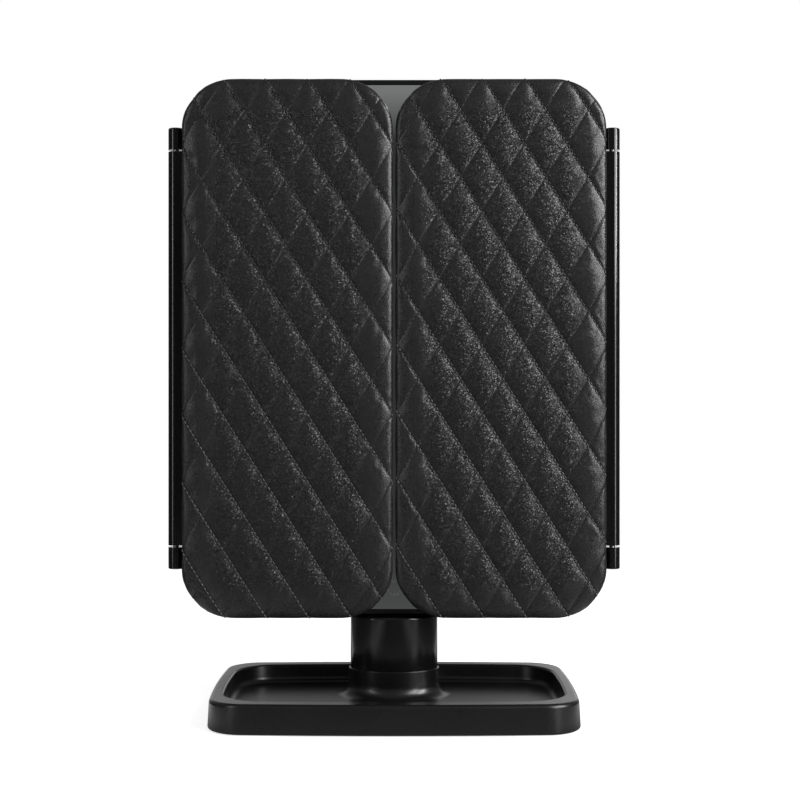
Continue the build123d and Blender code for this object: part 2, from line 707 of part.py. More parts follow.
# ---- Batteries ----
cell_nub = 1.0
bay_top = bay_bottom + bay_height
with BuildPart() as battery_cells:
    for i, x in enumerate(cell_xs):
        up = i % 2 == 0
        z_from = cell_bottom + seat_gap if up else bay_top - cell_bottom - seat_gap + bay_bottom - cell_length
        body_from = z_from if up else z_from + cell_nub
        upright(cell_radius, x, cell_y, body_from, body_from + cell_length - cell_nub)
        upright(cell_radius * 0.36, x, cell_y, z_from, z_from + cell_length)
save("battery_cells", battery_cells.part, "battery_cells")

contact_size = 8.0
with BuildPart() as battery_contacts:
    for x in cell_xs:
        for z in (bay_bottom + seat_gap, bay_top - seat_gap - contact_thickness):
            box(x - contact_size / 2, x + contact_size / 2, cell_y - contact_size / 2,
                cell_y + contact_size / 2, z, z + contact_thickness)
save("battery_contacts", battery_contacts.part, "battery_contacts")

spring_wire = 0.35
spring_radius = 2.8
spring_pitch = 1.5
with BuildPart() as battery_springs:
    for i, x in enumerate(cell_xs):
        low = bay_bottom + seat_gap + contact_thickness
        high = bay_top - seat_gap - contact_thickness - spring_space
        start = (low if i % 2 == 0 else high) + spring_wire
        with BuildLine() as coil:
            Helix(spring_pitch, spring_space - 2 * spring_wire, spring_radius, center=(x, cell_y, start))
        with BuildSketch(Plane(origin=coil.line @ 0, z_dir=coil.line % 0)):
            Circle(spring_wire)
        sweep(is_frenet=True)
save("battery_springs", battery_springs.part, "battery_springs")

with BuildPart() as battery_cover:
    slab(battery_cover_width, battery_cover_height, 2.7, 0, bay_z, head_back - battery_cover_thickness,
         head_back)
    for i in range(grip_count):
        z = bay_z + battery_cover_height / 2 - 8.0 - i * grip_pitch
        box(-8.0, 8.0, head_back - 0.5, head_back + 1.0, z - 0.6, z + 0.6, mode=Mode.SUBTRACT)
    box(-5.0, 5.0, head_back - battery_cover_thickness, head_back + 1.0,
        bay_z + battery_cover_height / 2 - 2.0, bay_z + battery_cover_height, mode=Mode.SUBTRACT)
save("battery_cover", battery_cover.part, "battery_cover")

# ---- Electronics ----
with BuildPart() as control_board:
    slab(control_board_width, control_board_height, 1.0, control_board_x, control_board_z,
         board_front_y, board_back)
    for x, z in board_post_places:
        post(frame_screw_shank + still_fit, x, z, board_front_y, board_back, mode=Mode.SUBTRACT)
save("control_board", control_board.part, "control_board")

with BuildPart() as control_chips:
    for dx, dz, size in ((-4.0, 4.0, 6.0), (7.0, -3.0, 4.5), (-2.0, -9.0, 4.0)):
        slab(size, size, 0.4, control_board_x + dx, control_board_z + dz, board_front_y - 1.2,
             board_front_y)
save("control_chips", control_chips.part, "control_chips")

with BuildPart() as control_board_screws:
    for x, z in board_post_places:
        post(frame_screw_head - 0.4, x, z, board_front_y - 1.2, board_front_y)
        post(frame_screw_shank, x, z, board_front_y, shell_inside - 0.6)
save("control_board_screws", control_board_screws.part, "control_board_screws")

with BuildPart() as usb_board:
    slab(usb_board_width, usb_board_height, 0.8, usb_x, port_z, usb_board_front, usb_board_back)
save("usb_board", usb_board.part, "usb_board")

usb_skin = 0.35
usb_tongue = 0.7
with BuildPart() as usb_socket:
    slab(usb_width, usb_height, 0.8, usb_x, port_z, usb_board_back, usb_board_back + usb_length)
    slab(usb_width - 2 * usb_skin, usb_height - 2 * usb_skin, 0.5, usb_x, port_z,
         usb_board_back + 1.2, usb_board_back + usb_length, mode=Mode.SUBTRACT)
    slab(usb_width - 2.4, usb_tongue, 0.2, usb_x, port_z, usb_board_back + 1.0,
         usb_board_back + usb_length - 1.0)
save("usb_socket", usb_socket.part, "usb_socket")

knob_x = switch_x - knob_travel / 2
with BuildPart() as switch_body:
    box(switch_x - switch_width / 2, switch_x + switch_width / 2, shell_inside - seat_gap - switch_depth,
        shell_inside - seat_gap, port_z - switch_height / 2, port_z + switch_height / 2)
save("switch_body", switch_body.part, "switch_body")

with BuildPart() as switch_knob:
    box(knob_x - knob_width / 2, knob_x + knob_width / 2, shell_inside + moving_gap,
        head_back + knob_stand, port_z - knob_height / 2, port_z + knob_height / 2)
    fillet(switch_knob.faces().sort_by(Axis.Y)[-1].edges(), radius=0.4)
save("switch_knob", switch_knob.part, "switch_knob")


# ---- Wings ----
def wing_slab(side, inset, front, back, mode=Mode.ADD):
    """A slab of one wing's outline, drawn in by inset; side is -1 for left and 1 for right."""
    slab(wing_width - 2 * inset, wing_height - 2 * inset, wing_corner - inset, side * wing_x, wing_z,
         front, back, mode=mode)


def pane_sag(radius):
    """How deep a concave pane is at its middle, below its corners."""
    reach = math.hypot(pane_width / 2 - pane_corner, pane_height / 2 - pane_corner) + pane_corner
    return radius - math.sqrt(radius ** 2 - reach ** 2)


def pane_seat(radius):
    """Depth of the floor that a concave pane's middle rests on."""
    return wing_back - glass_inset - pane_sag(radius) - pane_thickness - seat_gap


pane_rise = wing_height / 4 - 3.0
panes = (("upper", wing_z + pane_rise, upper_pane_radius), ("lower", wing_z - pane_rise, lower_pane_radius))
wing_glass_back = wing_back - glass_inset
wing_glass_front = wing_glass_back - wing_glass_thickness

for name, side in (("left", -1), ("right", 1)):
    with BuildPart() as wing_shell:
        wing_slab(side, 0, shell_front, wing_back)
        fillet(wing_shell.faces().sort_by(Axis.Y)[-1].edges(), radius=0.8)
        if side < 0:
            wing_slab(side, wing_glass_border, wing_glass_front - seat_gap, wing_back, mode=Mode.SUBTRACT)
        else:
            for _, z, radius in panes:
                slab(pane_width + 2 * glass_play, pane_height + 2 * glass_play, pane_corner + glass_play,
                     side * wing_x, z, pane_seat(radius), wing_back, mode=Mode.SUBTRACT)
        upright(tube_radius, side * hinge_x, hinge_y, long_knuckle_bottom, long_knuckle_top)
        inner, outer = sorted((side * (wing_outer - 1.5), side * hinge_x))
        box(inner, outer, wing_back - web_thickness, wing_back, long_knuckle_bottom, long_knuckle_top)
        for z_from, z_to in ((long_knuckle_bottom, long_knuckle_bottom + bush_length),
                             (long_knuckle_top - bush_length, long_knuckle_top)):
            upright(bush_radius + still_fit, side * hinge_x, hinge_y, z_from, z_to, mode=Mode.SUBTRACT)
    save(f"{name}_wing_shell", wing_shell.part, f"{name}_wing_shell")

    with BuildPart() as hinge_bushes:
        for z in (long_knuckle_bottom, long_knuckle_top - bush_length):
            upright(bush_radius, side * hinge_x, hinge_y, z, z + bush_length)
            upright(hinge_pin_radius + running_fit, side * hinge_x, hinge_y, z, z + bush_length,
                    mode=Mode.SUBTRACT)
    save(f"{name}_hinge_bushes", hinge_bushes.part, f"{name}_hinge_bushes")

    with BuildPart() as hinge_pins:
        for z_from, z_to in pin_spans:
            upright(hinge_pin_radius, side * hinge_x, hinge_y, z_from, z_to)
    save(f"{name}_hinge_pins", hinge_pins.part, f"{name}_hinge_pins")

    with BuildPart() as wing_board:
        wing_slab(side, leather_thickness + 2 * seat_gap, board_front, shell_front)
    save(f"{name}_wing_board", wing_board.part, f"{name}_wing_board")

    with BuildPart() as wing_foam:
        wing_slab(side, leather_thickness + moving_gap, foam_front + seat_gap, board_front - seat_gap)
    save(f"{name}_wing_foam", wing_foam.part, f"{name}_wing_foam")

    with BuildPart() as leather_cover:
        wing_slab(side, 0, wing_front, shell_front - seat_gap)
        fillet(leather_cover.faces().sort_by(Axis.Y)[0].edges(), radius=leather_round)
        wing_slab(side, leather_thickness, foam_front, shell_front, mode=Mode.SUBTRACT)
    save(f"{name}_leather_cover", leather_cover.part, f"{name}_leather_cover")

with BuildPart() as left_wing_mirror:
    wing_slab(-1, wing_glass_border + glass_play, wing_glass_front, wing_glass_back)
    chamfer(left_wing_mirror.faces().sort_by(Axis.Y)[-1].edges(), length=0.3)
save("left_wing_mirror", left_wing_mirror.part, "left_wing_mirror")

for name, z, radius in panes:
    with BuildPart() as pane:
        slab(pane_width, pane_height, pane_corner, wing_x, z, shell_front, wing_back)
        centre_y = wing_glass_back - pane_sag(radius) + radius
        with Locations((wing_x, centre_y, z)):
            Sphere(radius + pane_thickness, mode=Mode.INTERSECT)
            Sphere(radius, mode=Mode.SUBTRACT)
    save(f"right_{name}_pane", pane.part, f"right_{name}_pane")
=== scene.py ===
"""Dresses the trifold vanity mirror, and stands it in a plain white studio."""
import logging
import math
from dataclasses import dataclass
from enum import Enum

import bpy
import numpy as np
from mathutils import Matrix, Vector


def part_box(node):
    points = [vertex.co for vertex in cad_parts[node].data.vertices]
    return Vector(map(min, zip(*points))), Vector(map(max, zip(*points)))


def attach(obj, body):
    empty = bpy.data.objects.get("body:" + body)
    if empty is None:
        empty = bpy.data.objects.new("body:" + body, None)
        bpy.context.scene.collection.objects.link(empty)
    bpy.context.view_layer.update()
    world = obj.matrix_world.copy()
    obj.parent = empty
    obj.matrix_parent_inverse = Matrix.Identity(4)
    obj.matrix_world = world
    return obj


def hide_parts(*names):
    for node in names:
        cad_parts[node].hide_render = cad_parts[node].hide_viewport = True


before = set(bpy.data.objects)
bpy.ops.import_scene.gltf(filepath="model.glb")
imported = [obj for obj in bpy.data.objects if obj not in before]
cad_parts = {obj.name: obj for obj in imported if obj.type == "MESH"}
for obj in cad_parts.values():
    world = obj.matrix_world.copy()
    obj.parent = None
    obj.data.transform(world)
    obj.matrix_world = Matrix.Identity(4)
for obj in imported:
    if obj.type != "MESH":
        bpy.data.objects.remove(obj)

LOG = logging.getLogger("vanity_mirror")
MM = 0.001


class Side(Enum):
    """The two wings. The value is the sign of the wing's X."""

    LEFT = -1
    RIGHT = 1

    @property
    def word(self) -> str:
        """The word that starts the names of this side's pieces."""
        return self.name.lower()


# ---------------------------------------------------------------- shared tools
def deselect_all() -> None:
    """Leave edit mode and deselect every object."""
    if bpy.context.object and bpy.context.object.mode != "OBJECT":
        bpy.ops.object.mode_set(mode="OBJECT")
    bpy.ops.object.select_all(action="DESELECT")


def focus(piece: bpy.types.Object) -> None:
    """Make one object the only selected one, and the active one.

    Args:
        piece: the object that the next operators act on.
    """
    deselect_all()
    piece.select_set(True)
    bpy.context.view_layer.objects.active = piece


def newest(name: str) -> bpy.types.Object:
    """Name the primitive that was just added.

    Args:
        name: the piece's name.

    Returns:
        The new object.
    """
    piece = bpy.context.object
    piece.name = name
    piece.data.name = name
    return piece


def points_of(mesh: bpy.types.Mesh) -> np.ndarray:
    """The places of a mesh's vertices.

    Args:
        mesh: the mesh to read.

    Returns:
        One row of three numbers for each vertex.
    """
    flat = np.empty(len(mesh.vertices) * 3)
    mesh.vertices.foreach_get("co", flat)
    return flat.reshape(-1, 3)


def move_points(mesh: bpy.types.Mesh, places: np.ndarray) -> None:
    """Put a mesh's vertices at new places.

    Args:
        mesh: the mesh to change.
        places: one row of three numbers for each vertex.
    """
    mesh.vertices.foreach_set("co", np.asarray(places, dtype=float).ravel())
    mesh.update()


def apply_modifier(piece: bpy.types.Object, kind: str, name: str, **settings: object) -> None:
    """Add a modifier to a piece and apply it at once.

    Args:
        piece: the piece to change.
        kind: Blender's modifier type.
        name: the modifier's name.
        **settings: its settings.
    """
    focus(piece)
    modifier = piece.modifiers.new(name, kind)
    for key, value in settings.items():
        setattr(modifier, key, value)
    bpy.ops.object.modifier_apply(modifier=modifier.name)


def select_faces(piece: bpy.types.Object, chosen: np.ndarray) -> None:
    """Enter edit mode with only some faces selected.

    Args:
        piece: the piece, already in focus and in object mode.
        chosen: one truth value for each face.
    """
    for part in (piece.data.vertices, piece.data.edges):
        part.foreach_set("select", np.zeros(len(part), dtype=bool))
    piece.data.polygons.foreach_set("select", np.asarray(chosen, dtype=bool))
    bpy.ops.object.mode_set(mode="EDIT")
    bpy.ops.mesh.select_mode(type="FACE")


def face_outward(piece: bpy.types.Object) -> None:
    """Turn every face of a piece to the outside.

    Args:
        piece: the piece to change.
    """
    focus(piece)
    bpy.ops.object.mode_set(mode="EDIT")
    bpy.ops.mesh.select_all(action="SELECT")
    bpy.ops.mesh.normals_make_consistent(inside=False)
    bpy.ops.object.mode_set(mode="OBJECT")


def lift_shape(piece: bpy.types.Object) -> tuple[np.ndarray, list[tuple[int, ...]]]:
    """Take the shape of a piece that is modelled once and copied, and remove the piece.

    The operators leave vertices and faces in an order that can change from run to run, so they are sorted.

    Args:
        piece: the piece, in object mode.

    Returns:
        Its vertices, and its faces.
    """
    places = points_of(piece.data)
    order = np.lexsort(np.round(places / MM, 4).T)
    rank = np.argsort(order).tolist()
    faces = []
    for face in piece.data.polygons:
        corners = [rank[number] for number in face.vertices]
        first = corners.index(min(corners))
        faces.append(tuple(corners[first:] + corners[:first]))
    bpy.data.objects.remove(piece)
    return places[order], sorted(faces)


def join_copies(name: str, copies: list[np.ndarray], faces: list[tuple[int, ...]]) -> bpy.types.Object:
    """Make one piece of many copies of a shape.

    Args:
        name: the piece's name.
        copies: the vertices of each copy.
        faces: the faces of one copy.

    Returns:
        The new piece.
    """
    starts = np.arange(len(copies)) * len(copies[0])
    mesh = bpy.data.meshes.new(name)
    mesh.from_pydata(np.concatenate(copies).tolist(), [],
                     [tuple(corner + int(start) for corner in face) for start in starts for face in faces])
    piece = bpy.data.objects.new(name, mesh)
    bpy.context.scene.collection.objects.link(piece)
    return piece


class NodeDesk:
    """A node tree under construction, with short ways to add nodes and join them."""

    def __init__(self, tree: bpy.types.NodeTree) -> None:
        """Start with an empty tree.

        Args:
            tree: the tree to fill.
        """
        self.tree = tree
        tree.nodes.clear()

    def join(self, start: bpy.types.NodeSocket, end: bpy.types.NodeSocket) -> None:
        """Link two sockets."""
        self.tree.links.new(start, end)

    def plug(self, value: object, socket: bpy.types.NodeSocket) -> None:
        """Link a socket to another, or set it to a plain value.

        Args:
            value: a socket, or the value.
            socket: the socket to fill.
        """
        if isinstance(value, bpy.types.NodeSocket):
            self.join(value, socket)
        else:
            socket.default_value = value

    def node(self, kind: str, **settings: object) -> bpy.types.Node:
        """Add a node.

        Args:
            kind: Blender's node type, without the leading ShaderNode.
            **settings: its settings.

        Returns:
            The new node.
        """
        made = self.tree.nodes.new("ShaderNode" + kind)
        for key, value in settings.items():
            setattr(made, key, value)
        return made

    def spread(self, value: bpy.types.NodeSocket, low: float, high: float, to_low: object,
               to_high: object) -> bpy.types.NodeSocket:
        """Stretch a range of values to another, and hold it there.

        Args:
            value: the values.
            low: start of their range.
            high: end of their range.
            to_low: what low becomes.
            to_high: what high becomes.

        Returns:
            The new values.
        """
        made = self.node("MapRange", clamp=True)
        for place, number in enumerate((value, low, high, to_low, to_high)):
            self.plug(number, made.inputs[place])
        return made.outputs[0]

    def math(self, operation: str, first: object, second: object = 0.0) -> bpy.types.NodeSocket:
        """Do one sum on two values.

        Args:
            operation: Blender's name of the sum.
            first: a socket or a number.
            second: a socket or a number.

        Returns:
            The result.
        """
        made = self.node("Math", operation=operation)
        self.plug(first, made.inputs[0])
        self.plug(second, made.inputs[1])
        return made.outputs[0]

    def vectors(self, operation: str, first: object, second: object) -> bpy.types.NodeSocket:
        """Do one sum on two vectors.

        Args:
            operation: Blender's name of the sum.
            first: a socket or three numbers.
            second: a socket or three numbers, or one number where the sum scales the first.

        Returns:
            The result.
        """
        made = self.node("VectorMath", operation=operation)
        self.plug(first, made.inputs[0])
        self.plug(second, made.inputs["Scale" if operation == "SCALE" else 1])
        return made.outputs[0]

    def split(self, vector: bpy.types.NodeSocket) -> tuple[bpy.types.NodeSocket, ...]:
        """Take a vector apart.

        Args:
            vector: the vector.

        Returns:
            Its X, Y and Z.
        """
        made = self.node("SeparateXYZ")
        self.join(vector, made.inputs[0])
        return tuple(made.outputs)

    def length(self, first: bpy.types.NodeSocket, second: bpy.types.NodeSocket) -> bpy.types.NodeSocket:
        """The length of two sides at a right angle."""
        return self.math("SQRT", self.math("ADD", self.math("MULTIPLY", first, first),
                                           self.math("MULTIPLY", second, second)))


class Bench(NodeDesk):
    """A material under construction, with a Principled shader at its output."""

    def __init__(self, name: str) -> None:
        """Start the material.

        Args:
            name: the material's name.
        """
        self.material = bpy.data.materials.new(name)
        self.material.use_nodes = True
        super().__init__(self.material.node_tree)
        self.output = self.node("OutputMaterial")
        self.shader = self.node("BsdfPrincipled")
        self.join(self.shader.outputs["BSDF"], self.output.inputs["Surface"])
        self.where = self.node("TexCoord").outputs["Object"]

    def set(self, **values: object) -> None:
        """Set sockets of the Principled shader, named with underscores for spaces."""
        for key, value in values.items():
            self.plug(value, self.shader.inputs[key.replace("_", " ")])

    def noise(self, scale: float, detail: float = 2.0, roughness: float = 0.5) -> bpy.types.NodeSocket:
        """A noise pattern.

        Args:
            scale: features per metre.
            detail: octaves of finer noise.
            roughness: how strong the finer octaves are.

        Returns:
            The pattern, about 0 to 1.
        """
        made = self.node("TexNoise")
        for name, value in (("Scale", scale), ("Detail", detail), ("Roughness", roughness), ("Vector", self.where)):
            self.plug(value, made.inputs[name])
        return made.outputs[0]

    def cells(self, scale: float, output: str = "Distance", feature: str = "F1",
              randomness: float = 1.0) -> bpy.types.NodeSocket:
        """A pattern of cells.

        Args:
            scale: cells per metre.
            output: the node output to use.
            feature: Blender's Voronoi feature.
            randomness: 0 for a square grid, 1 for scattered cells.

        Returns:
            The chosen output.
        """
        made = self.node("TexVoronoi", feature=feature)
        for name, value in (("Scale", scale), ("Randomness", randomness), ("Vector", self.where)):
            self.plug(value, made.inputs[name])
        return made.outputs[output]

    def blend(self, share: bpy.types.NodeSocket, first: object, second: object) -> bpy.types.NodeSocket:
        """Mix two colours.

        Args:
            share: 0 for the first colour, 1 for the second.
            first: a socket or a colour of three numbers.
            second: a socket or a colour of three numbers.

        Returns:
            The mixed colour.
        """
        made = self.node("Mix", data_type="RGBA")
        self.join(share, made.inputs[0])
        for place, value in ((6, first), (7, second)):
            self.plug((*value, 1.0) if isinstance(value, tuple) else value, made.inputs[place])
        return made.outputs[2]

    def bump(self, height: bpy.types.NodeSocket, depth: float, strength: float = 1.0,
             over: bpy.types.NodeSocket | None = None) -> bpy.types.NodeSocket:
        """Turn a height pattern into a bumped normal.

        Args:
            height: the pattern.
            depth: metres from its lowest to its highest.
            strength: 0 to 1.
            over: a bumped normal that this one lies on.

        Returns:
            The normal.
        """
        made = self.node("Bump")
        made.inputs["Strength"].default_value = strength
        made.inputs["Distance"].default_value = depth
        self.join(height, made.inputs["Height"])
        if over is not None:
            self.join(over, made.inputs["Normal"])
        return made.outputs["Normal"]

    def facets(self, colours: bpy.types.NodeSocket, tilt: object) -> bpy.types.NodeSocket:
        """Turn each cell of a pattern into a flat facet that leans its own way.

        Args:
            colours: one random colour for each cell.
            tilt: how far the facets lean.

        Returns:
            The normal.
        """
        lean = self.vectors("SCALE", self.vectors("SUBTRACT", colours, (0.5, 0.5, 0.5)), tilt)
        return self.vectors("NORMALIZE", self.vectors("ADD", self.node("NewGeometry").outputs["Normal"], lean),
                            (0.0, 0.0, 0.0))

    def attribute(self, name: str) -> bpy.types.NodeSocket:
        """The values of one of the mesh's own attributes."""
        return self.node("Attribute", attribute_name=name).outputs["Fac"]

    def axes(self) -> tuple[bpy.types.NodeSocket, ...]:
        """The surface's own X, Y and Z, in metres."""
        return self.split(self.where)


# ---------------------------------------------------------------- finishes
@dataclass(frozen=True)
class Leatherette:
    """Black leatherette with a fine glitter in its grain, painted shade along the sewn lines where the creases lie,
    and smoother round its edge.
    """

    name: str = "quilted_leatherette"
    dark: tuple = (0.0042, 0.0042, 0.0044)
    light: tuple = (0.0115, 0.0115, 0.0119)
    # colour of the painted shade in the creases along the sewn lines
    seam: tuple = (0.0025, 0.0025, 0.0025)
    rolled: tuple = (0.0290, 0.0290, 0.0295)      # lighter, where it is rolled round the edge
    seam_from: float = 0.25           # of the closeness to a sewn line, where its painted shade starts
    seam_full: float = 0.95
    seam_matt: float = 0.7
    patch_scale: float = 70.0
    patch_dark: float = 0.8           # of the tone, in the darker patches
    grain_scale: float = 1700.0
    grain_depth: float = 0.12 * MM
    glitter_scale: float = 2000.0     # grains per metre
    glitter_share: float = 0.62       # of the grains that shine
    glitter_turn: float = 0.04        # over which a grain goes from matt to shiny
    glitter_tilt: float = 0.54
    matt_tilt: float = 0.3            # of the glitter's tilt, in the matt grains
    rolled_tilt: float = 0.12
    rolled_glitter: float = 0.15      # of the glitter that is left round the edge
    shine: float = 0.26
    matt: float = 0.58
    rolled_matt: float = 0.25
    gloss: float = 0.35

    def make(self) -> bpy.types.Material:
        """Build the material.

        Returns:
            The material.
        """
        bench = Bench(self.name)
        # where the painted shade of the creases lies; it also makes them matt and hides their glitter
        seam = bench.spread(bench.attribute("seam"), self.seam_from, self.seam_full, 0.0, 1.0)
        rolled = bench.attribute("rolled")
        patches = bench.spread(bench.noise(self.patch_scale, 3.0), 0.3, 0.7, self.patch_dark, 1.0)
        grain = bench.noise(self.grain_scale, 3.0, 0.62)
        tone = bench.math("MULTIPLY", bench.spread(grain, 0.3, 0.75, 0.0, 1.0), patches)
        colour = bench.blend(tone, self.dark, bench.blend(rolled, self.light, self.rolled))
        glitter = bench.cells(self.glitter_scale, "Color")
        matt_share = 1 - self.glitter_share
        picked = bench.spread(bench.split(glitter)[2], matt_share, matt_share + self.glitter_turn, 0.0, 1.0)
        open_hide = bench.math("MULTIPLY", bench.math("SUBTRACT", 1.0, seam),
                               bench.spread(rolled, 0.0, 1.0, 1.0, self.rolled_glitter))
        shiny = bench.math("MULTIPLY", picked, open_hide)
        matt_lean = bench.spread(rolled, 0.0, 1.0, self.matt_tilt, self.rolled_tilt)
        lean = bench.math("MULTIPLY", self.glitter_tilt, bench.spread(shiny, 0.0, 1.0, matt_lean, 1.0))
        matt = bench.spread(rolled, 0.0, 1.0, self.matt, self.rolled_matt)
        roughness = bench.math("MAXIMUM", bench.spread(shiny, 0.0, 1.0, matt, self.shine),
                               bench.math("MULTIPLY", seam, self.seam_matt))
        # the colour takes the painted shade in the creases along the sewn lines
        bench.set(Base_Color=bench.blend(seam, colour, self.seam), Roughness=roughness,
                  Normal=bench.bump(grain, self.grain_depth, 0.8, over=bench.facets(glitter, lean)),
                  Specular_IOR_Level=self.gloss)
        return bench.material


@dataclass(frozen=True)
class SewingThread:
    """Twisted black polyester thread, with painted shade that darkens it toward the top and in the lines that lie
    deeper.
    """

    name: str = "sewing_thread"
    # colour of the painted shade on the thread
    dull: tuple = (0.012, 0.012, 0.012)
    dark: tuple = (0.048, 0.048, 0.048)
    light: tuple = (0.080, 0.080, 0.080)
    twist_scale: float = 2600.0
    twist_depth: float = 0.05 * MM
    unshaded_below: float = 150.0 * MM      # above the table; below this the thread has no painted shade
    full_shade_above: float = 235.0 * MM
    most_painted_shade: float = 0.85
    smooth: float = 0.26
    rough: float = 0.38
    gloss: float = 0.6

    def make(self) -> bpy.types.Material:
        """Build the material.

        Returns:
            The material.
        """
        bench = Bench(self.name)
        strands = bench.noise(self.twist_scale, 1.0)
        # painted shade: the thread darker toward the top, and in the lines that lie deeper
        high = bench.spread(bench.axes()[2], self.unshaded_below, self.full_shade_above, 0.0, self.most_painted_shade)
        dull = bench.math("MAXIMUM", high, bench.math("MULTIPLY", bench.attribute("deep"), self.most_painted_shade))
        bench.set(Base_Color=bench.blend(dull, bench.blend(strands, self.dark, self.light), self.dull),
                  Normal=bench.bump(strands, self.twist_depth, 0.8),
                  Roughness=bench.spread(strands, 0.3, 0.7, self.smooth, self.rough),
                  Specular_IOR_Level=self.gloss)
        return bench.material


@dataclass(frozen=True)
class MouldedPlastic:
    """Injection-moulded plastic with a fine spark-eroded texture, with an optional rougher sunk floor."""

    name: str = "satin_black_plastic"
    dark: tuple = (0.0030, 0.0030, 0.0032)
    light: tuple = (0.0048, 0.0048, 0.0050)
    smooth: float = 0.11
    rough: float = 0.17
    texture_scale: float = 3200.0
    texture_depth: float = 0.016 * MM
    flow_scale: float = 28.0
    ripple_scale: float = 160.0
    ripple_depth: float = 0.03 * MM
    gloss: float = 0.5
    floor_top: float = 0.0        # below this height the plastic is rougher
    floor_half: tuple = (0.0, 0.0)
    floor_rough: float = 0.30

    def make(self) -> bpy.types.Material:
        """Build the material.

        Returns:
            The material.
        """
        bench = Bench(self.name)
        texture = bench.noise(self.texture_scale, 2.0, 0.6)
        flow = bench.noise(self.flow_scale, 4.0, 0.55)
        ripple = bench.bump(bench.noise(self.ripple_scale, 2.0), self.ripple_depth, 0.35)
        roughness = bench.spread(bench.math("ADD", flow, bench.math("MULTIPLY", texture, 0.4)),
                                 0.4, 0.95, self.smooth, self.rough)
        if self.floor_top:
            across, deep, up = bench.axes()
            inside = bench.spread(up, self.floor_top, self.floor_top + 2 * MM, 1.0, 0.0)
            for way, half in zip((across, deep), self.floor_half):
                within = bench.spread(bench.math("ABSOLUTE", way), half - MM, half, 1.0, 0.0)
                inside = bench.math("MULTIPLY", inside, within)
            roughness = bench.math("MAXIMUM", roughness, bench.math("MULTIPLY", inside, self.floor_rough))
        bench.set(Base_Color=bench.blend(flow, self.dark, self.light), Roughness=roughness,
                  Normal=bench.bump(texture, self.texture_depth, 0.5, over=ripple),
                  Specular_IOR_Level=self.gloss)
        return bench.material


@dataclass(frozen=True)
class MirrorGlass:
    """Silvered glass, with optional frosted windows and a touch mark."""

    name: str = "mirror_glass"
    silver: tuple = (0.86, 0.88, 0.88)
    frost: tuple = (0.78, 0.80, 0.80)
    window_x: float = 0.0
    window_half_width: float = 0.0
    window_z: float = 0.0
    window_half_height: float = 0.0
    mark_z: float = 0.0
    mark_radius: float = 0.0
    mark_line: float = 0.6 * MM
    mark_strength: float = 0.15
    haze_scale: float = 40.0
    smooth: float = 0.006
    hazy: float = 0.02
    frost_scale: float = 2500.0
    frost_smooth: float = 0.42
    frost_rough: float = 0.55
    soft_edge: float = 0.1 * MM

    def make(self) -> bpy.types.Material:
        """Build the material.

        Returns:
            The material.
        """
        bench = Bench(self.name)
        haze = bench.spread(bench.noise(self.haze_scale, 4.0), 0.35, 0.8, self.smooth, self.hazy)
        bench.set(Metallic=1.0, Base_Color=(*self.silver, 1.0), Roughness=haze)
        if self.window_half_width:
            across, _, up = bench.axes()
            aside = bench.math("ABSOLUTE", bench.math("SUBTRACT", bench.math("ABSOLUTE", across), self.window_x))
            rise = bench.math("ABSOLUTE", bench.math("SUBTRACT", up, self.window_z))
            past_end = bench.math("MAXIMUM", bench.math(
                "SUBTRACT", rise, self.window_half_height - self.window_half_width), 0.0)
            window = bench.spread(bench.length(aside, past_end), self.window_half_width - self.soft_edge,
                                  self.window_half_width, 1.0, 0.0)
            from_mark = bench.length(across, bench.math("SUBTRACT", up, self.mark_z))
            ring = bench.math("ABSOLUTE", bench.math("SUBTRACT", from_mark, self.mark_radius))
            mark = bench.spread(ring, self.mark_line / 2, self.mark_line / 2 + self.soft_edge, self.mark_strength, 0.0)
            frosted = bench.math("MAXIMUM", window, mark)
            frost = bench.spread(bench.noise(self.frost_scale, 2.0), 0.2, 0.8, self.frost_smooth, self.frost_rough)
            bench.set(Metallic=bench.math("SUBTRACT", 1.0, frosted),
                      Base_Color=bench.blend(frosted, self.silver, self.frost),
                      Roughness=bench.math("MAXIMUM", bench.math("MULTIPLY", frosted, frost), haze))
        return bench.material


@dataclass(frozen=True)
class MilkyPlastic:
    """Milky acrylic that scatters light."""

    name: str = "milky_acrylic"
    pale: tuple = (0.80, 0.81, 0.80)
    deep: tuple = (0.70, 0.72, 0.72)
    scatter: float = 0.25
    scatter_reach: float = 2.0 * MM

    def make(self) -> bpy.types.Material:
        """Build the material.

        Returns:
            The material.
        """
        bench = Bench(self.name)
        cloud = bench.noise(120.0, 3.0)
        bench.set(Base_Color=bench.blend(cloud, self.deep, self.pale),
                  Roughness=bench.spread(cloud, 0.3, 0.7, 0.30, 0.42),
                  Normal=bench.bump(bench.noise(1800.0), 0.01 * MM, 0.4),
                  Subsurface_Weight=self.scatter, Subsurface_Radius=(self.scatter_reach,) * 3)
        return bench.material


@dataclass(frozen=True)
class TurnedSteel:
    """Zinc-plated steel with fine turning marks."""

    name: str = "plated_steel"
    dark: tuple = (0.42, 0.42, 0.43)
    light: tuple = (0.62, 0.62, 0.61)

    def make(self) -> bpy.types.Material:
        """Build the material.

        Returns:
            The material.
        """
        bench = Bench(self.name)
        turning = bench.noise(2200.0, 2.0)
        stain = bench.noise(300.0, 3.0)
        bench.set(Metallic=1.0, Base_Color=bench.blend(stain, self.dark, self.light),
                  Roughness=bench.spread(turning, 0.3, 0.7, 0.22, 0.42),
                  Normal=bench.bump(turning, 0.01 * MM, 0.5))
        return bench.material


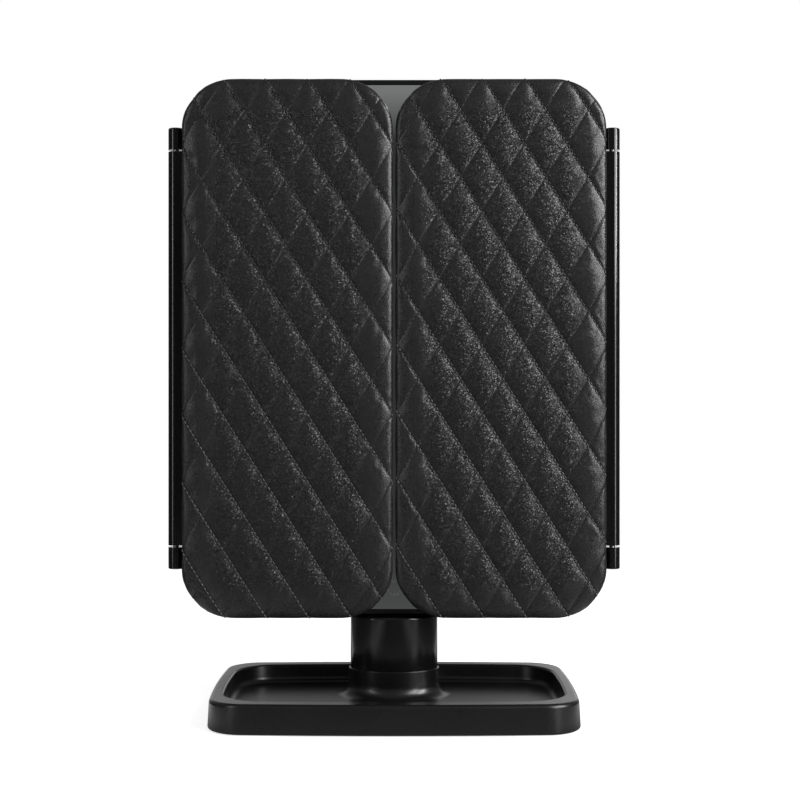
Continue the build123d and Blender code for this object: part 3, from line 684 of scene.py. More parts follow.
@dataclass(frozen=True)
class Grained:
    """A plain solid stuff with its own grain: nylon, rubber, foam, board, copper or a cell's sleeve."""

    name: str
    dark: tuple
    light: tuple
    scale: float
    depth: float
    smooth: float
    rough: float
    metal: float = 0.0

    def make(self) -> bpy.types.Material:
        """Build the material.

        Returns:
            The material.
        """
        bench = Bench(self.name)
        grain = bench.noise(self.scale, 3.0, 0.6)
        patches = bench.noise(self.scale / 12.0, 2.0)
        tone = bench.math("MULTIPLY", bench.math("ADD", grain, patches), 0.5)
        bench.set(Base_Color=bench.blend(tone, self.dark, self.light), Metallic=self.metal,
                  Roughness=bench.spread(grain, 0.3, 0.7, self.smooth, self.rough),
                  Normal=bench.bump(grain, self.depth, 0.6))
        return bench.material


@dataclass(frozen=True)
class CircuitBoard:
    """Green solder mask over faint copper tracks."""

    name: str = "solder_mask"
    mask: tuple = (0.010, 0.085, 0.035)
    track: tuple = (0.025, 0.160, 0.070)

    def make(self) -> bpy.types.Material:
        """Build the material.

        Returns:
            The material.
        """
        bench = Bench(self.name)
        tracks = bench.spread(bench.cells(420.0, "Distance", "DISTANCE_TO_EDGE", 0.35), 0.06, 0.10, 1.0, 0.0)
        bench.set(Base_Color=bench.blend(tracks, self.mask, self.track),
                  Roughness=bench.spread(bench.noise(900.0), 0.3, 0.7, 0.25, 0.40),
                  Normal=bench.bump(tracks, 0.03 * MM, 0.5))
        return bench.material


class Finishes:
    """Every finish of the mirror, made once and handed out by the record's slot names."""

    mark_share: float = 0.6       # of the sensor pad's radius, for the mark on the glass

    def __init__(self) -> None:
        """Make the materials."""
        low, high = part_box("right_light_diffuser")
        pad_low, pad_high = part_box("touch_sensor_pad")
        self.leatherette = Leatherette().make()
        self.thread = SewingThread().make()
        self.centre_glass = MirrorGlass(
            name="centre_mirror_glass",
            window_x=(low.x + high.x) / 2,
            window_half_width=(high.x - low.x) / 2,
            window_z=(low.z + high.z) / 2,
            window_half_height=(high.z - low.z) / 2,
            mark_z=(pad_low.z + pad_high.z) / 2,
            mark_radius=(pad_high.z - pad_low.z) / 2 * self.mark_share,
        ).make()
        self.by_slot = {
            "black_plastic": MouldedPlastic().make(),
            "knob_plastic": MouldedPlastic("switch_knob_plastic", (0.012, 0.012, 0.013), (0.018, 0.018, 0.019),
                                           0.38, 0.48).make(),
            "steel": TurnedSteel().make(),
            "mirror": MirrorGlass().make(),
            "milky_plastic": MilkyPlastic().make(),
            "circuit_board": CircuitBoard().make(),
            "leatherette": self.leatherette,
        }
        for slot, *values in (
            ("nylon", "white_nylon", (0.52, 0.51, 0.48), (0.66, 0.65, 0.62), 900.0, 0.02 * MM, 0.35, 0.5),
            ("rubber", "foot_rubber", (0.010, 0.010, 0.010), (0.022, 0.022, 0.022), 1500.0, 0.06 * MM, 0.62, 0.8),
            ("lamp", "lamp_phosphor", (0.72, 0.62, 0.22), (0.86, 0.78, 0.40), 1600.0, 0.02 * MM, 0.35, 0.5),
            ("copper_foil", "copper_foil", (0.62, 0.28, 0.16), (0.80, 0.42, 0.26), 700.0, 0.01 * MM, 0.2, 0.34, 1.0),
            ("cell_sleeve", "cell_sleeve", (0.16, 0.17, 0.18), (0.22, 0.23, 0.24), 260.0, 0.01 * MM, 0.24, 0.34, 0.35),
            ("foam", "grey_foam", (0.10, 0.10, 0.10), (0.20, 0.20, 0.20), 1300.0, 0.18 * MM, 0.85, 0.95),
            ("fibreboard", "fibreboard", (0.16, 0.10, 0.06), (0.30, 0.20, 0.12), 800.0, 0.08 * MM, 0.7, 0.85),
        ):
            self.by_slot[slot] = Grained(*values).make()

    def dress(self, node: str, material: bpy.types.Material | None = None) -> None:
        """Give a carried-over node its finish.

        Args:
            node: the node's name.
            material: the finish, or None for the one of the node's slot.
        """
        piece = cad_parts[node]
        slot = piece.data.materials[0].name.split(".")[0] if piece.data.materials else ""
        chosen = material or self.by_slot.get(slot)
        if chosen is None:
            raise KeyError(f"{node} has the slot {slot!r}, which has no finish")
        piece.data.materials.clear()
        piece.data.materials.append(chosen)
        LOG.info("%s: %s", node, chosen.name)


# ---------------------------------------------------------------- screws
@dataclass
class CrossScrews:
    """Screws with a cross recess in the head, in the places of one node's plain ones."""

    node: str
    body: str
    way: tuple                    # that the heads face
    finishes: Finishes
    apart: float = 8.0 * MM       # points closer than this, seen from the head, are of one screw
    axis_zone: float = 0.1 * MM   # points this close to the axis are the middles of its flat ends
    sides: int = 32
    recess_reach: float = 0.60    # of the head's radius
    recess_width: float = 0.24    # of the head's radius
    recess_depth: float = 0.8 * MM

    def groups(self, flat: np.ndarray) -> list[np.ndarray]:
        """Tell the screws apart.

        Args:
            flat: each vertex's place, seen from the head.

        Returns:
            The numbers of each screw's vertices.
        """
        left = np.arange(len(flat))
        found = []
        while len(left):
            near = np.linalg.norm(flat[left] - flat[left[0]], axis=1) < self.apart
            found.append(left[near])
            left = left[~near]
        return found

    def rings(self, radii: np.ndarray, heights: np.ndarray) -> list[tuple[float, float]]:
        """The screw's outline, from its tip to the top of its head.

        Args:
            radii: each vertex's distance from the screw's own axis.
            heights: each vertex's height along it.

        Returns:
            Pairs of radius and height.
        """
        pairs = {(round(r / MM, 2), round(h / MM, 2)) for r, h in zip(radii, heights) if r > self.axis_zone}
        widest = max(h for r, h in pairs if r == max(pairs)[0])
        lower = sorted((pair for pair in pairs if pair[1] <= widest), key=lambda pair: (pair[1], pair[0]))
        upper = sorted((pair for pair in pairs if pair[1] > widest), key=lambda pair: (pair[1], -pair[0]))
        return [(r * MM, h * MM) for r, h in lower + upper]

    def one_screw(self, rings: list[tuple[float, float]]) -> bpy.types.Object:
        """Model one screw along Z, round the origin.

        Args:
            rings: its outline.

        Returns:
            The screw.
        """
        deselect_all()
        radius, height = rings[0]
        bpy.ops.mesh.primitive_circle_add(vertices=self.sides, radius=radius, fill_type="NGON",
                                          location=(0.0, 0.0, height))
        bpy.ops.object.transform_apply(location=True, rotation=True, scale=True)
        screw = newest("one_screw")
        bpy.ops.object.mode_set(mode="EDIT")
        bpy.ops.mesh.select_all(action="SELECT")
        for wider, higher in rings[1:]:
            bpy.ops.mesh.extrude_region_move(TRANSFORM_OT_translate={"value": (0.0, 0.0, higher - height)})
            bpy.ops.transform.resize(value=(wider / radius, wider / radius, 1.0))
            radius, height = wider, higher
        face_outward(screw)
        head = max(r for r, _ in rings)
        for length, width in ((self.recess_reach, self.recess_width), (self.recess_width, self.recess_reach)):
            deselect_all()
            bpy.ops.mesh.primitive_cube_add(size=1.0, location=(0.0, 0.0, height))
            cutter = newest("cross_cutter")
            cutter.scale = (2 * head * length, 2 * head * width, 2 * self.recess_depth)
            bpy.ops.object.transform_apply(location=True, rotation=True, scale=True)
            apply_modifier(screw, "BOOLEAN", "recess", operation="DIFFERENCE", object=cutter, solver="EXACT")
            bpy.data.objects.remove(cutter)
        return screw

    def build(self) -> bpy.types.Object:
        """Build the screws.

        Returns:
            The finished piece.
        """
        way, across = np.array(self.way), np.array((1.0, 0.0, 0.0))
        turn = np.column_stack((across, np.cross(way, across), way))
        points = points_of(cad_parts[self.node].data) @ turn
        screws = [points[group] for group in self.groups(points[:, :2])]
        middles = [(own[:, :2].min(axis=0) + own[:, :2].max(axis=0)) / 2 for own in screws]
        tops = [own[:, 2].max() for own in screws]
        outline = self.rings(np.linalg.norm(screws[0][:, :2] - middles[0], axis=1), screws[0][:, 2])
        shape, faces = lift_shape(self.one_screw(outline))
        copies = [(shape + (*middle, top - tops[0])) @ turn.T for middle, top in zip(middles, tops)]
        piece = join_copies(f"cross_{self.node}", copies, faces)
        piece.data.materials.append(self.finishes.by_slot["steel"])
        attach(piece, self.body)
        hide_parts(self.node)
        LOG.info("%s: %d screws", piece.name, len(copies))
        return piece


# ---------------------------------------------------------------- wings
@dataclass
class QuiltedCover:
    """The stitched leatherette cover over one wing's foam: a diamond quilt rolled over the wing's edge."""

    side: Side
    finishes: Finishes
    diamond_width: float = 22.16 * MM
    diamond_height: float = 35.05 * MM
    down_phase: float = 0.0       # of the lines that rise to the right, at the wing's middle
    up_phase: float = 0.0         # of the lines that fall to the right
    corner: float = 26.5 * MM
    seam_proud: float = 0.35 * MM     # of the sewn lines, before the cover's front in the frame
    crown_width: float = 9.0 * MM
    crown_depth: float = 2.0 * MM
    turn_steps: int = 60          # of the section, round the crown and round the tuck
    tuck_round: float = 0.4 * MM
    tuck_length: float = 3.0 * MM
    puff: float = 0.84 * MM
    puff_power: float = 0.88      # below 1 the pillows are fuller than a sine
    puff_side: float = 0.25       # of the puff, on the cover's side
    cross_pinch: float = 0.66     # how much less the filling rises at the lines that rise to the right
    cross_share: float = 0.58     # of those lines' creases
    smooth_border: float = 9.0 * MM   # of leatherette without glitter, before the crown
    crease_depth: float = 0.32 * MM
    crease_width: float = 0.38 * MM
    dark_width: float = 1.5       # of the painted shade along a sewn line, in crease widths
    fade_start: float = 0.75      # of the quilting, in runs of the crown
    fade_length: float = 0.6
    steps: int = 14               # faces along a diamond's side
    gather: float = 0.75          # how much the faces crowd towards the sewn lines
    blow_frames: int = 16
    blow_pressure: float = 30.0
    blow_spare: float = 0.010     # spare leatherette, as a share of its length
    blow_cap: float = 0.25 * MM   # how far the filling may move a point
    blow_cross: float = 0.35      # of that, at the lines that rise to the right
    fill: float = 0.7
    stitch_pitch: float = 2.63 * MM
    stitch_length: float = 2.05 * MM
    stitch_radius: float = 0.29 * MM
    stitch_taper: float = 0.62    # of the radius, at its ends
    stitch_straight: float = 0.62     # of its length, before it dives
    stitch_shift: float = 0.37    # of a pitch, from each line to the next
    stitch_proud: float = 0.08 * MM
    cross_sunk: float = 0.40 * MM     # of the stitches across, which the filling swallows
    edge_sunk: float = 0.35 * MM
    lines: int = 9                # on each side of the middle one
    sides_sewn: int = 16          # diamonds' sides, on each side of a line's middle

    def __post_init__(self) -> None:
        """Take the cover's place from the frame."""
        low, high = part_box(f"{self.side.word}_leather_cover")
        self.front = low.y - self.seam_proud
        self.depth = high.y - self.front
        self.middle = Vector(((low.x + high.x) / 2, self.front, (low.z + high.z) / 2))
        self.half = np.array([(high.x - low.x) / 2, (high.z - low.z) / 2])
        self.side_length = math.hypot(self.diamond_width, self.diamond_height) / 2
        self.spacing = self.diamond_width * self.diamond_height / 2 / self.side_length
        self.profile = self.edge_profile()

    def edge_profile(self) -> np.ndarray:
        """The cover's section across its edge.

        Returns:
            Rows of run, outward offset and depth, from the start of the crown to the end of the tuck.
        """
        turn = np.linspace(0.0, math.pi / 2, self.turn_steps)
        crown = np.stack((self.crown_width * np.sin(turn), self.crown_depth * (1 - np.cos(turn))), axis=1)
        tuck = np.stack((self.crown_width - self.tuck_round * (1 - np.cos(turn)),
                         self.depth - self.tuck_round * (1 - np.sin(turn))), axis=1)
        end = [[tuck[-1, 0] - self.tuck_length, self.depth]]
        line = np.concatenate((crown, tuck, end))
        run = np.concatenate(([0.0], np.cumsum(np.linalg.norm(np.diff(line, axis=0), axis=1))))
        return np.column_stack((run, line))

    def flat_place(self, lattice: np.ndarray) -> np.ndarray:
        """From quilt coordinates, whole on the sewn lines, to places on the flat quilt.

        Args:
            lattice: rows of the two quilt coordinates.

        Returns:
            Rows of X and Z from the wing's middle.
        """
        down = lattice[:, 0] + self.down_phase
        up = lattice[:, 1] + self.up_phase
        return np.column_stack((self.diamond_width * (down + up) / 2, self.diamond_height * (up - down) / 2))

    def roll(self, flat: np.ndarray) -> tuple[np.ndarray, np.ndarray, np.ndarray]:
        """Roll the flat quilt over the wing's edge.

        Args:
            flat: rows of X and Z from the wing's middle.

        Returns:
            The places in the frame, the outward normals, and how far each point is past the start of the crown.
        """
        over = np.abs(flat) - (self.half - self.corner)
        outside = np.maximum(over, 0.0)
        reach = np.linalg.norm(outside, axis=1) + np.minimum(over.max(axis=1), 0.0)
        past = reach - (self.corner - self.crown_width)
        along = np.where(over > 0, outside, 0.0)
        inner = reach <= 0
        along[inner, over[inner].argmax(axis=1)] = 1.0
        along /= np.maximum(np.linalg.norm(along, axis=1, keepdims=True), 1e-12)
        along *= np.where(flat < 0, -1.0, 1.0)
        run, offset, drop = self.profile.T
        rolled = np.clip(past, 0.0, run[-1])
        out = np.interp(rolled, run, offset)
        back = np.interp(rolled, run, drop)
        tiny = 0.01 * MM
        out_slope = (np.interp(rolled + tiny, run, offset) - np.interp(rolled - tiny, run, offset)) / (2 * tiny)
        back_slope = (np.interp(rolled + tiny, run, drop) - np.interp(rolled - tiny, run, drop)) / (2 * tiny)
        flat_part = past <= 0
        out_slope[flat_part], back_slope[flat_part] = 1.0, 0.0
        base = flat - along * np.maximum(past, 0.0)[:, None]
        plane = base + along * np.where(flat_part, 0.0, out)[:, None]
        places = np.column_stack((self.middle.x + plane[:, 0], self.front + np.where(flat_part, 0.0, back),
                                  self.middle.z + plane[:, 1]))
        normals = np.column_stack((along[:, 0] * back_slope, -out_slope, along[:, 1] * back_slope))
        normals /= np.maximum(np.linalg.norm(normals, axis=1, keepdims=True), 1e-12)
        return places, normals, past

    def edge_fade(self, past: np.ndarray) -> np.ndarray:
        """How much of the quilting is left as the cover turns down its side, from 1 to 0."""
        crown = self.profile[self.turn_steps - 1, 0]
        return np.clip(1.0 - (past - crown * self.fade_start) / (crown * self.fade_length), 0.0, 1.0)

    def seam_closeness(self, lattice: np.ndarray, width: float) -> np.ndarray:
        """How close each point is to a sewn line: 1 on it, falling away over a width, and less at the cross lines."""
        away = np.abs(lattice - np.round(lattice)) * self.spacing
        return (np.exp(-(away / width) ** 2) * (self.cross_share, 1.0)).max(axis=1)

    def puff_height(self, lattice: np.ndarray, past: np.ndarray) -> np.ndarray:
        """How far the filling lifts the cover, and the thread pulls it in.

        Args:
            lattice: rows of the two quilt coordinates.
            past: how far each point is past the start of the crown.

        Returns:
            Metres along the normal.
        """
        share = np.abs(np.sin(math.pi * lattice)) ** self.puff_power
        pillow = share[:, 1] * (1 - self.cross_pinch * (1 - share[:, 0]))
        fade = self.edge_fade(past)
        lift = self.puff * pillow * (self.puff_side + (1 - self.puff_side) * fade)
        pull = self.crease_depth * self.seam_closeness(lattice, self.crease_width) * fade
        return (lift - pull) * (past < self.profile[-1, 0] - self.tuck_length)

    def blow_up(self, piece: bpy.types.Object, sewn: np.ndarray, cap: np.ndarray) -> None:
        """Let the filling blow the cover up between its sewn lines, as a cloth simulation whose result is applied.

        Args:
            piece: the cover's open sheet.
            sewn: one truth value for each vertex that the thread or the tuck holds.
            cap: how far each vertex may move, in metres.
        """
        before = points_of(piece.data)
        pins = piece.vertex_groups.new(name="sewn_down")
        pins.add(np.flatnonzero(sewn).tolist(), 1.0, "REPLACE")
        focus(piece)
        cloth = piece.modifiers.new("filling", "CLOTH")
        for key, value in {"quality": 4, "mass": 0.3, "tension_stiffness": 5.0, "compression_stiffness": 5.0,
                           "shear_stiffness": 2.0, "bending_stiffness": 0.05, "use_pressure": True,
                           "uniform_pressure_force": self.blow_pressure, "shrink_min": -self.blow_spare,
                           "vertex_group_mass": pins.name}.items():
            setattr(cloth.settings, key, value)
        cloth.settings.effector_weights.gravity = 0.0
        cloth.collision_settings.use_collision = False
        for number in range(1, self.blow_frames + 1):
            bpy.context.scene.frame_set(number)
        bpy.ops.object.modifier_apply(modifier=cloth.name)
        bpy.context.scene.frame_set(1)
        moved = points_of(piece.data) - before
        far = np.linalg.norm(moved, axis=1, keepdims=True)
        LOG.info("%s: the filling moved points by up to %.2f mm", piece.name, far.max() / MM)
        move_points(piece.data, before + moved * np.minimum(1.0, cap[:, None] / np.maximum(far, 1e-9)))
        piece.vertex_groups.clear()

    def quilt(self) -> bpy.types.Object:
        """Build the quilted cover.

        Returns:
            The finished piece.
        """
        reach = self.half + self.profile[-1, 0]
        cells = 2 * math.ceil(reach[0] / self.diamond_width + reach[1] / self.diamond_height)
        deselect_all()
        bpy.ops.mesh.primitive_grid_add(x_subdivisions=cells * self.steps, y_subdivisions=cells * self.steps,
                                        size=cells)
        piece = newest(f"{self.side.word}_quilted_cover")
        even = points_of(piece.data)[:, :2]
        part = even - np.floor(even)
        lattice = np.floor(even) + (1 - self.gather) * part + self.gather * (1 - np.cos(math.pi * part)) / 2
        past = self.roll(self.flat_place(lattice))[2]
        move_points(piece.data, np.column_stack((lattice, past)))
        corners = np.array([face.vertices[:] for face in piece.data.polygons])
        select_faces(piece, (past[corners] > self.profile[-1, 0]).any(axis=1))
        bpy.ops.mesh.delete(type="FACE")
        bpy.ops.object.mode_set(mode="OBJECT")
        lattice, past = np.split(points_of(piece.data), [2], axis=1)
        past = past[:, 0]
        places, normals, _ = self.roll(self.flat_place(lattice))
        move_points(piece.data, places + normals * self.puff_height(lattice, past)[:, None])
        # closeness to the sewn lines, for the painted shade in the creases
        seam = piece.data.attributes.new("seam", "FLOAT", "POINT")
        seam.data.foreach_set("value", self.seam_closeness(lattice, self.crease_width * self.dark_width)
                              * self.edge_fade(past))
        rolled = piece.data.attributes.new("rolled", "FLOAT", "POINT")
        rolled.data.foreach_set("value", np.clip(1 + past / self.smooth_border, 0.0, 1.0))
        face_outward(piece)
        middle_face = int(np.argmin([(face.center - self.middle).length for face in piece.data.polygons]))
        if piece.data.polygons[middle_face].normal.y > 0:
            piece.data.flip_normals()
        on_line = np.abs(lattice[:, 1] - np.round(lattice[:, 1])) < 1e-4
        between = np.abs(np.sin(math.pi * lattice[:, 0])) ** 0.5
        cap = self.blow_cap * (self.blow_cross + (1 - self.blow_cross) * between)
        self.blow_up(piece, on_line | (past > self.profile[self.turn_steps - 1, 0]), cap)
        apply_modifier(piece, "SUBSURF", "soft_folds", levels=1, render_levels=1)
        bpy.ops.object.mode_set(mode="EDIT")
        bpy.ops.mesh.select_all(action="DESELECT")
        bpy.ops.mesh.select_mode(type="EDGE")
        bpy.ops.mesh.select_non_manifold()
        bpy.ops.mesh.edge_face_add()
        face_outward(piece)
        bpy.ops.object.shade_smooth()
        piece.data.materials.append(self.finishes.leatherette)
        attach(piece, f"{self.side.word}_wing")
        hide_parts(f"{self.side.word}_leather_cover")
        LOG.info("%s: %d faces", piece.name, len(piece.data.polygons))
        return piece

    def stitch(self) -> tuple[np.ndarray, list[tuple[int, ...]]]:
        """Model one stitch: a short length of thread whose ends dive into the leatherette.

        Returns:
            Its vertices along X, and its faces.
        """
        deselect_all()
        straight = self.stitch_length * self.stitch_straight
        bpy.ops.mesh.primitive_cylinder_add(vertices=6, radius=self.stitch_radius, depth=straight,
                                            rotation=(0.0, math.pi / 2, 0.0))
        bpy.ops.object.transform_apply(location=True, rotation=True, scale=True)
        thread = newest("one_stitch")
        for end in (-1, 1):
            select_faces(thread, np.array([face.normal.x * end > 0.9 for face in thread.data.polygons]))
            dive = (end * (self.stitch_length - straight) / 2, self.stitch_radius * 0.9, 0.0)
            bpy.ops.mesh.extrude_region_move(TRANSFORM_OT_translate={"value": dive})
            bpy.ops.transform.resize(value=(1.0, self.stitch_taper, self.stitch_taper))
            bpy.ops.object.mode_set(mode="OBJECT")
        return lift_shape(thread)

    def seam_line(self, family: int, number: int) -> np.ndarray:
        """Where the needle goes through along one sewn line.

        Args:
            family: 0 for the lines that rise to the right, 1 for those that fall.
            number: which line of the family.

        Returns:
            The quilt coordinates of the middles of its stitches.
        """
        count = int(self.sides_sewn * self.side_length / self.stitch_pitch)
        start = 0.5 + self.stitch_shift * number
        travel = (np.arange(-count, count) + start) * self.stitch_pitch / self.side_length
        lattice = np.empty((len(travel), 2))
        lattice[:, family] = number
        lattice[:, 1 - family] = travel
        return lattice

    def stitching(self) -> bpy.types.Object:
        """Sew both families of lines.

        Returns:
            The finished piece.
        """
        shape, faces = self.stitch()
        copies, deep = [], []
        for family in (0, 1):
            for number in range(-self.lines, self.lines + 1):
                lattice = self.seam_line(family, number)
                step = np.zeros(2)
                step[1 - family] = 1e-3
                middle, normal, past = self.roll(self.flat_place(lattice))
                sunk = (self.cross_sunk, -self.stitch_proud)[family]
                pull = self.crease_depth * (self.cross_share, 1.0)[family]
                lift = self.puff_height(lattice, past) + (pull - sunk) * self.edge_fade(past)
                lift -= self.edge_sunk * np.clip(past / self.crown_width, 0.0, 1.0)
                middle += normal * lift[:, None]
                ahead = self.roll(self.flat_place(lattice + step))[0]
                behind = self.roll(self.flat_place(lattice - step))[0]
                kept = past < self.profile[-1, 0] - self.tuck_length - 2.0 * self.tuck_round
                along = ahead - behind
                along /= np.maximum(np.linalg.norm(along, axis=1, keepdims=True), 1e-12)
                across = np.cross(normal, along)
                for place, x_axis, y_axis, z_axis in zip(middle[kept], along[kept], -normal[kept], across[kept]):
                    turn = np.column_stack((x_axis, y_axis, z_axis))
                    copies.append(shape @ turn.T + place - y_axis * self.stitch_radius * 0.5)
                    deep.extend([1.0 - family] * len(shape))
        piece = join_copies(f"{self.side.word}_stitching", copies, faces)
        # 1 on the lines that lie deeper, whose thread takes painted shade
        piece.data.attributes.new("deep", "FLOAT", "POINT").data.foreach_set("value", deep)
        face_outward(piece)
        bpy.ops.object.shade_smooth()
        piece.data.materials.append(self.finishes.thread)
        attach(piece, f"{self.side.word}_wing")
        LOG.info("%s: %d stitches", piece.name, len(copies))
        return piece


@dataclass
class Wing:
    """One folding wing: its shell, its mirrors and its quilted cover."""

    side: Side
    finishes: Finishes
    down_phase: float     # of the quilt's two families of lines, in spacings
    up_phase: float

    def build(self) -> None:
        """Build and dress the wing."""
        cover = QuiltedCover(self.side, self.finishes, down_phase=self.down_phase, up_phase=self.up_phase)
        cover.quilt()
        cover.stitching()
        word = self.side.word
        panes = ["left_wing_mirror"] if self.side is Side.LEFT else ["right_upper_pane", "right_lower_pane"]
        for node in (f"{word}_wing_shell", f"{word}_wing_board", f"{word}_wing_foam", f"{word}_hinge_bushes",
                     f"{word}_hinge_pins", *panes):
            self.finishes.dress(node)


@dataclass
class CentreMirror:
    """The centre mirror's frame, glass, lights, battery bay and electronics."""

    finishes: Finishes
    nodes: tuple = ("centre_frame", "centre_back_shell", "mirror_backing_plate", "left_light_diffuser",
                    "right_light_diffuser", "left_led_board", "right_led_board", "led_chips", "touch_sensor_pad",
                    "control_board", "control_chips", "control_board_screws", "usb_board", "usb_socket",
                    "switch_body", "switch_knob", "battery_cells", "battery_contacts", "battery_springs",
                    "battery_cover")

    def build(self) -> None:
        """Dress the centre mirror."""
        CrossScrews("frame_screws", "head", (0.0, 1.0, 0.0), self.finishes).build()
        self.finishes.dress("centre_mirror_glass", self.finishes.centre_glass)
        for node in self.nodes:
            self.finishes.dress(node)


@dataclass
class Stand:
    """The tray base, the neck and the tilt hinge."""

    finishes: Finishes
    nodes: tuple = ("neck_front_shell", "neck_rear_shell", "base_weight", "rubber_feet", "neck_strap", "neck_screws",
                    "tilt_shaft", "friction_washers", "spring_washers", "shaft_nuts")
    tray: tuple = ("tray_base", "base_cover")
    floor_depth: float = 6.5 * MM     # from the rim down to where the recess turns rough
    rim: float = 6.5 * MM
    boss_rise: float = 4.4 * MM       # of the boss over the rim

    def build(self) -> None:
        """Dress the stand."""
        CrossScrews("base_cover_screws", "base", (0.0, 0.0, -1.0), self.finishes).build()
        CrossScrews("neck_shell_screws", "base", (0.0, 1.0, 0.0), self.finishes).build()
        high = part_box("tray_base")[1]
        plastic = MouldedPlastic("textured_black_plastic", smooth=0.24, rough=0.32,
                                 floor_top=high.z - self.boss_rise - self.floor_depth,
                                 floor_half=(high.x - self.rim, high.y - self.rim)).make()
        for node in self.tray:
            self.finishes.dress(node, plastic)
        for node in self.nodes:
            self.finishes.dress(node)


# ---------------------------------------------------------------- studio
@dataclass
class SoftBox:
    """One soft lamp."""

    name: str
    place: tuple
    aim: tuple
    size: tuple
    power: float

    def build(self) -> None:
        """Add the lamp, turned to its aim."""
        deselect_all()
        bpy.ops.object.light_add(type="AREA", location=self.place)
        lamp = bpy.context.object
        lamp.name = self.name
        lamp.data.shape = "RECTANGLE"
        lamp.data.size, lamp.data.size_y = self.size
        lamp.data.energy = self.power
        lamp.rotation_euler = (Vector(self.aim) - Vector(self.place)).to_track_quat("-Z", "Y").to_euler()


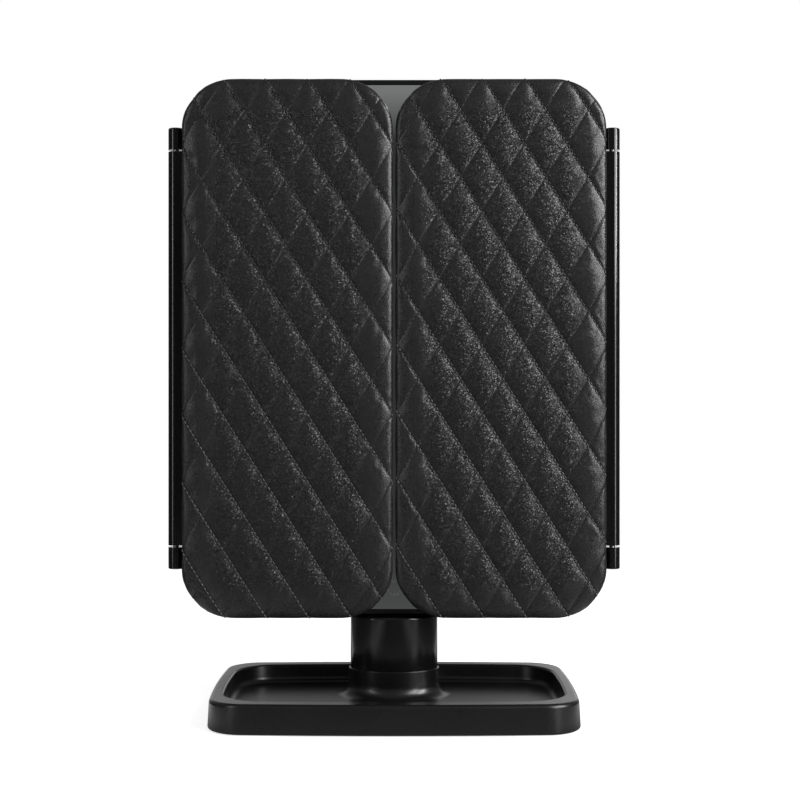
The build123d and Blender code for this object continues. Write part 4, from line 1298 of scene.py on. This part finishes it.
@dataclass
class Studio:
    """A white studio: floor, lamps, surroundings and camera."""

    eye: tuple = (0.0, -0.7815, 0.1675)
    lens: float = 67.4
    shift: tuple = (0.0074, -0.0125)
    ambient: float = 0.30         # of the room on the object
    behind: float = 0.39          # what gloss shows of the backdrop
    behind_left: float = 0.35     # added at its sides
    behind_right: float = 0.80
    before: float = 0.20          # of the room above the camera
    line_right: float = 8.0       # of the narrow bright panels level with the camera, at the sides
    line_left: float = 3.5
    stand: float = 0.035          # of the dark stand round the camera
    floor_radius: float = 1.5
    floor_white: float = 0.82
    floor_glow: float = 0.75
    floor_near: float = 0.32      # what gloss shows of the floor
    floor_far: float = 0.075
    floor_ends: float = 0.8       # past the tray's ends
    floor_lift: float = 0.8       # of the floor's light on what hangs over it
    lamps: tuple = (
        SoftBox("right_soft_box", (0.76, -0.76, 0.66), (0.0, 0.0, 0.2), (0.28, 0.80), 8.0),
        SoftBox("right_strip", (0.92, -0.42, 0.64), (0.0, 0.0, 0.2), (0.10, 0.70), 9.0),
        SoftBox("left_strip", (-0.80, -0.70, 0.66), (0.0, 0.0, 0.2), (0.10, 0.70), 1.5),
    )

    def surroundings(self) -> None:
        """A white backdrop that gloss sees plain behind the object, and dim with two bright panels before it."""
        world = bpy.data.worlds.new("studio_surroundings")
        bpy.context.scene.world = world
        world.use_nodes = True
        desk = NodeDesk(world.node_tree)
        out = desk.node("OutputWorld")
        path = desk.node("LightPath")
        across, deep, up = desk.split(desk.node("TexCoord").outputs["Generated"])
        sides = desk.math("ADD", desk.spread(across, 0.04, 0.16, 0.0, self.behind_right),
                          desk.spread(across, -0.16, -0.04, self.behind_left, 0.0))
        away = desk.math("ABSOLUTE", across)
        sides = desk.math("MULTIPLY", sides, desk.spread(away, 0.30, 0.55, 1.0, 0.0))
        behind = desk.math("MULTIPLY", desk.math("ADD", sides, self.behind), desk.spread(up, 0.35, 0.75, 1.0, 0.25))
        before = desk.spread(up, 0.165, 0.195, self.stand, self.before)
        panel = desk.spread(across, -0.1, 0.1, self.line_left, self.line_right)
        for value, *ends in ((desk.math("ABSOLUTE", up), 0.10, 0.14, 1.0, 0.0), (away, 0.62, 0.66, 0.0, 1.0),
                             (away, 0.74, 0.78, 1.0, 0.0), (deep, -0.2, 0.0, 1.0, 0.0)):
            panel = desk.math("MULTIPLY", panel, desk.spread(value, *ends))
        mirrored = desk.spread(deep, 0.60, 0.90, desk.math("ADD", before, panel), behind)
        glossy = desk.math("MAXIMUM", path.outputs["Is Glossy Ray"], path.outputs["Is Transmission Ray"])
        seen = desk.math("MAXIMUM", path.outputs["Is Camera Ray"],
                         desk.spread(glossy, 0.0, 1.0, self.ambient, mirrored))
        light = desk.node("Background")
        light.inputs["Color"].default_value = (1.0, 1.0, 1.0, 1.0)
        desk.join(seen, light.inputs["Strength"])
        desk.join(light.outputs[0], out.inputs["Surface"])

    def floor(self) -> None:
        """A white floor that keeps the object's shadow and fades into the backdrop."""
        deselect_all()
        bpy.ops.mesh.primitive_circle_add(vertices=96, radius=self.floor_radius, fill_type="NGON")
        floor = newest("studio_floor")
        bench = Bench("studio_floor")
        bench.tree.nodes.remove(bench.shader)
        path = bench.node("LightPath")
        across, deep, _ = bench.axes()
        reach = bench.length(across, deep)
        paint = bench.node("BsdfDiffuse")
        paint.inputs["Color"].default_value = (*(self.floor_white,) * 3, 1.0)
        glow = bench.node("Emission")
        bench.join(bench.math("ADD", bench.math("MULTIPLY", path.outputs["Is Camera Ray"], self.floor_glow),
                              bench.math("MULTIPLY", path.outputs["Is Diffuse Ray"], self.floor_lift)),
                   glow.inputs["Strength"])
        white = bench.node("AddShader")
        bench.join(paint.outputs[0], white.inputs[0])
        bench.join(glow.outputs[0], white.inputs[1])
        gloss = bench.node("Emission")
        ends = bench.math("ADD", bench.spread(across, 0.10, 0.14, 0.0, self.floor_ends),
                          bench.spread(across, -0.14, -0.10, self.floor_ends, 0.0))
        ends = bench.math("MULTIPLY", ends, bench.spread(bench.math("ABSOLUTE", across), 0.15, 0.19, 1.0, 0.0))
        back = bench.spread(deep, 0.05, 0.12, 0.0, self.behind - self.floor_near)
        near_tone = bench.spread(reach, 0.13, 0.2, self.floor_near, self.floor_far)
        bench.join(bench.math("ADD", bench.math("ADD", ends, back), near_tone), gloss.inputs["Strength"])
        mirrored = bench.node("MixShader")
        bench.join(bench.math("MAXIMUM", path.outputs["Is Glossy Ray"], path.outputs["Is Transmission Ray"]),
                   mirrored.inputs[0])
        bench.join(white.outputs[0], mirrored.inputs[1])
        bench.join(gloss.outputs[0], mirrored.inputs[2])
        clear = bench.node("BsdfTransparent")
        mix = bench.node("MixShader")
        bench.join(bench.spread(reach, 0.35, 0.85, 0.0, 1.0), mix.inputs[0])
        bench.join(mirrored.outputs[0], mix.inputs[1])
        bench.join(clear.outputs[0], mix.inputs[2])
        bench.join(mix.outputs[0], bench.output.inputs["Surface"])
        floor.data.materials.append(bench.material)

    def camera(self) -> None:
        """A level camera in front of the mirror."""
        deselect_all()
        bpy.ops.object.camera_add(location=self.eye, rotation=(math.pi / 2, 0.0, 0.0))
        camera = bpy.context.object
        camera.name = "front_camera"
        camera.data.lens = self.lens
        camera.data.shift_x, camera.data.shift_y = self.shift
        bpy.context.scene.camera = camera

    def build(self) -> None:
        """Set up the studio."""
        bpy.context.scene.view_settings.view_transform = "Standard"
        self.surroundings()
        self.floor()
        for lamp in self.lamps:
            lamp.build()
        self.camera()
        LOG.info("studio: %d lamps", len(self.lamps))


def main() -> None:
    """Build and dress each part of the mirror, then the studio round it."""
    logging.basicConfig(level=logging.INFO, format="%(name)s: %(message)s")
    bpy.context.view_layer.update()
    finishes = Finishes()
    Stand(finishes).build()
    CentreMirror(finishes).build()
    Wing(Side.LEFT, finishes, down_phase=0.47, up_phase=0.506).build()
    Wing(Side.RIGHT, finishes, down_phase=0.494, up_phase=0.594).build()
    Studio().build()


if __name__ == "__main__":
    main()
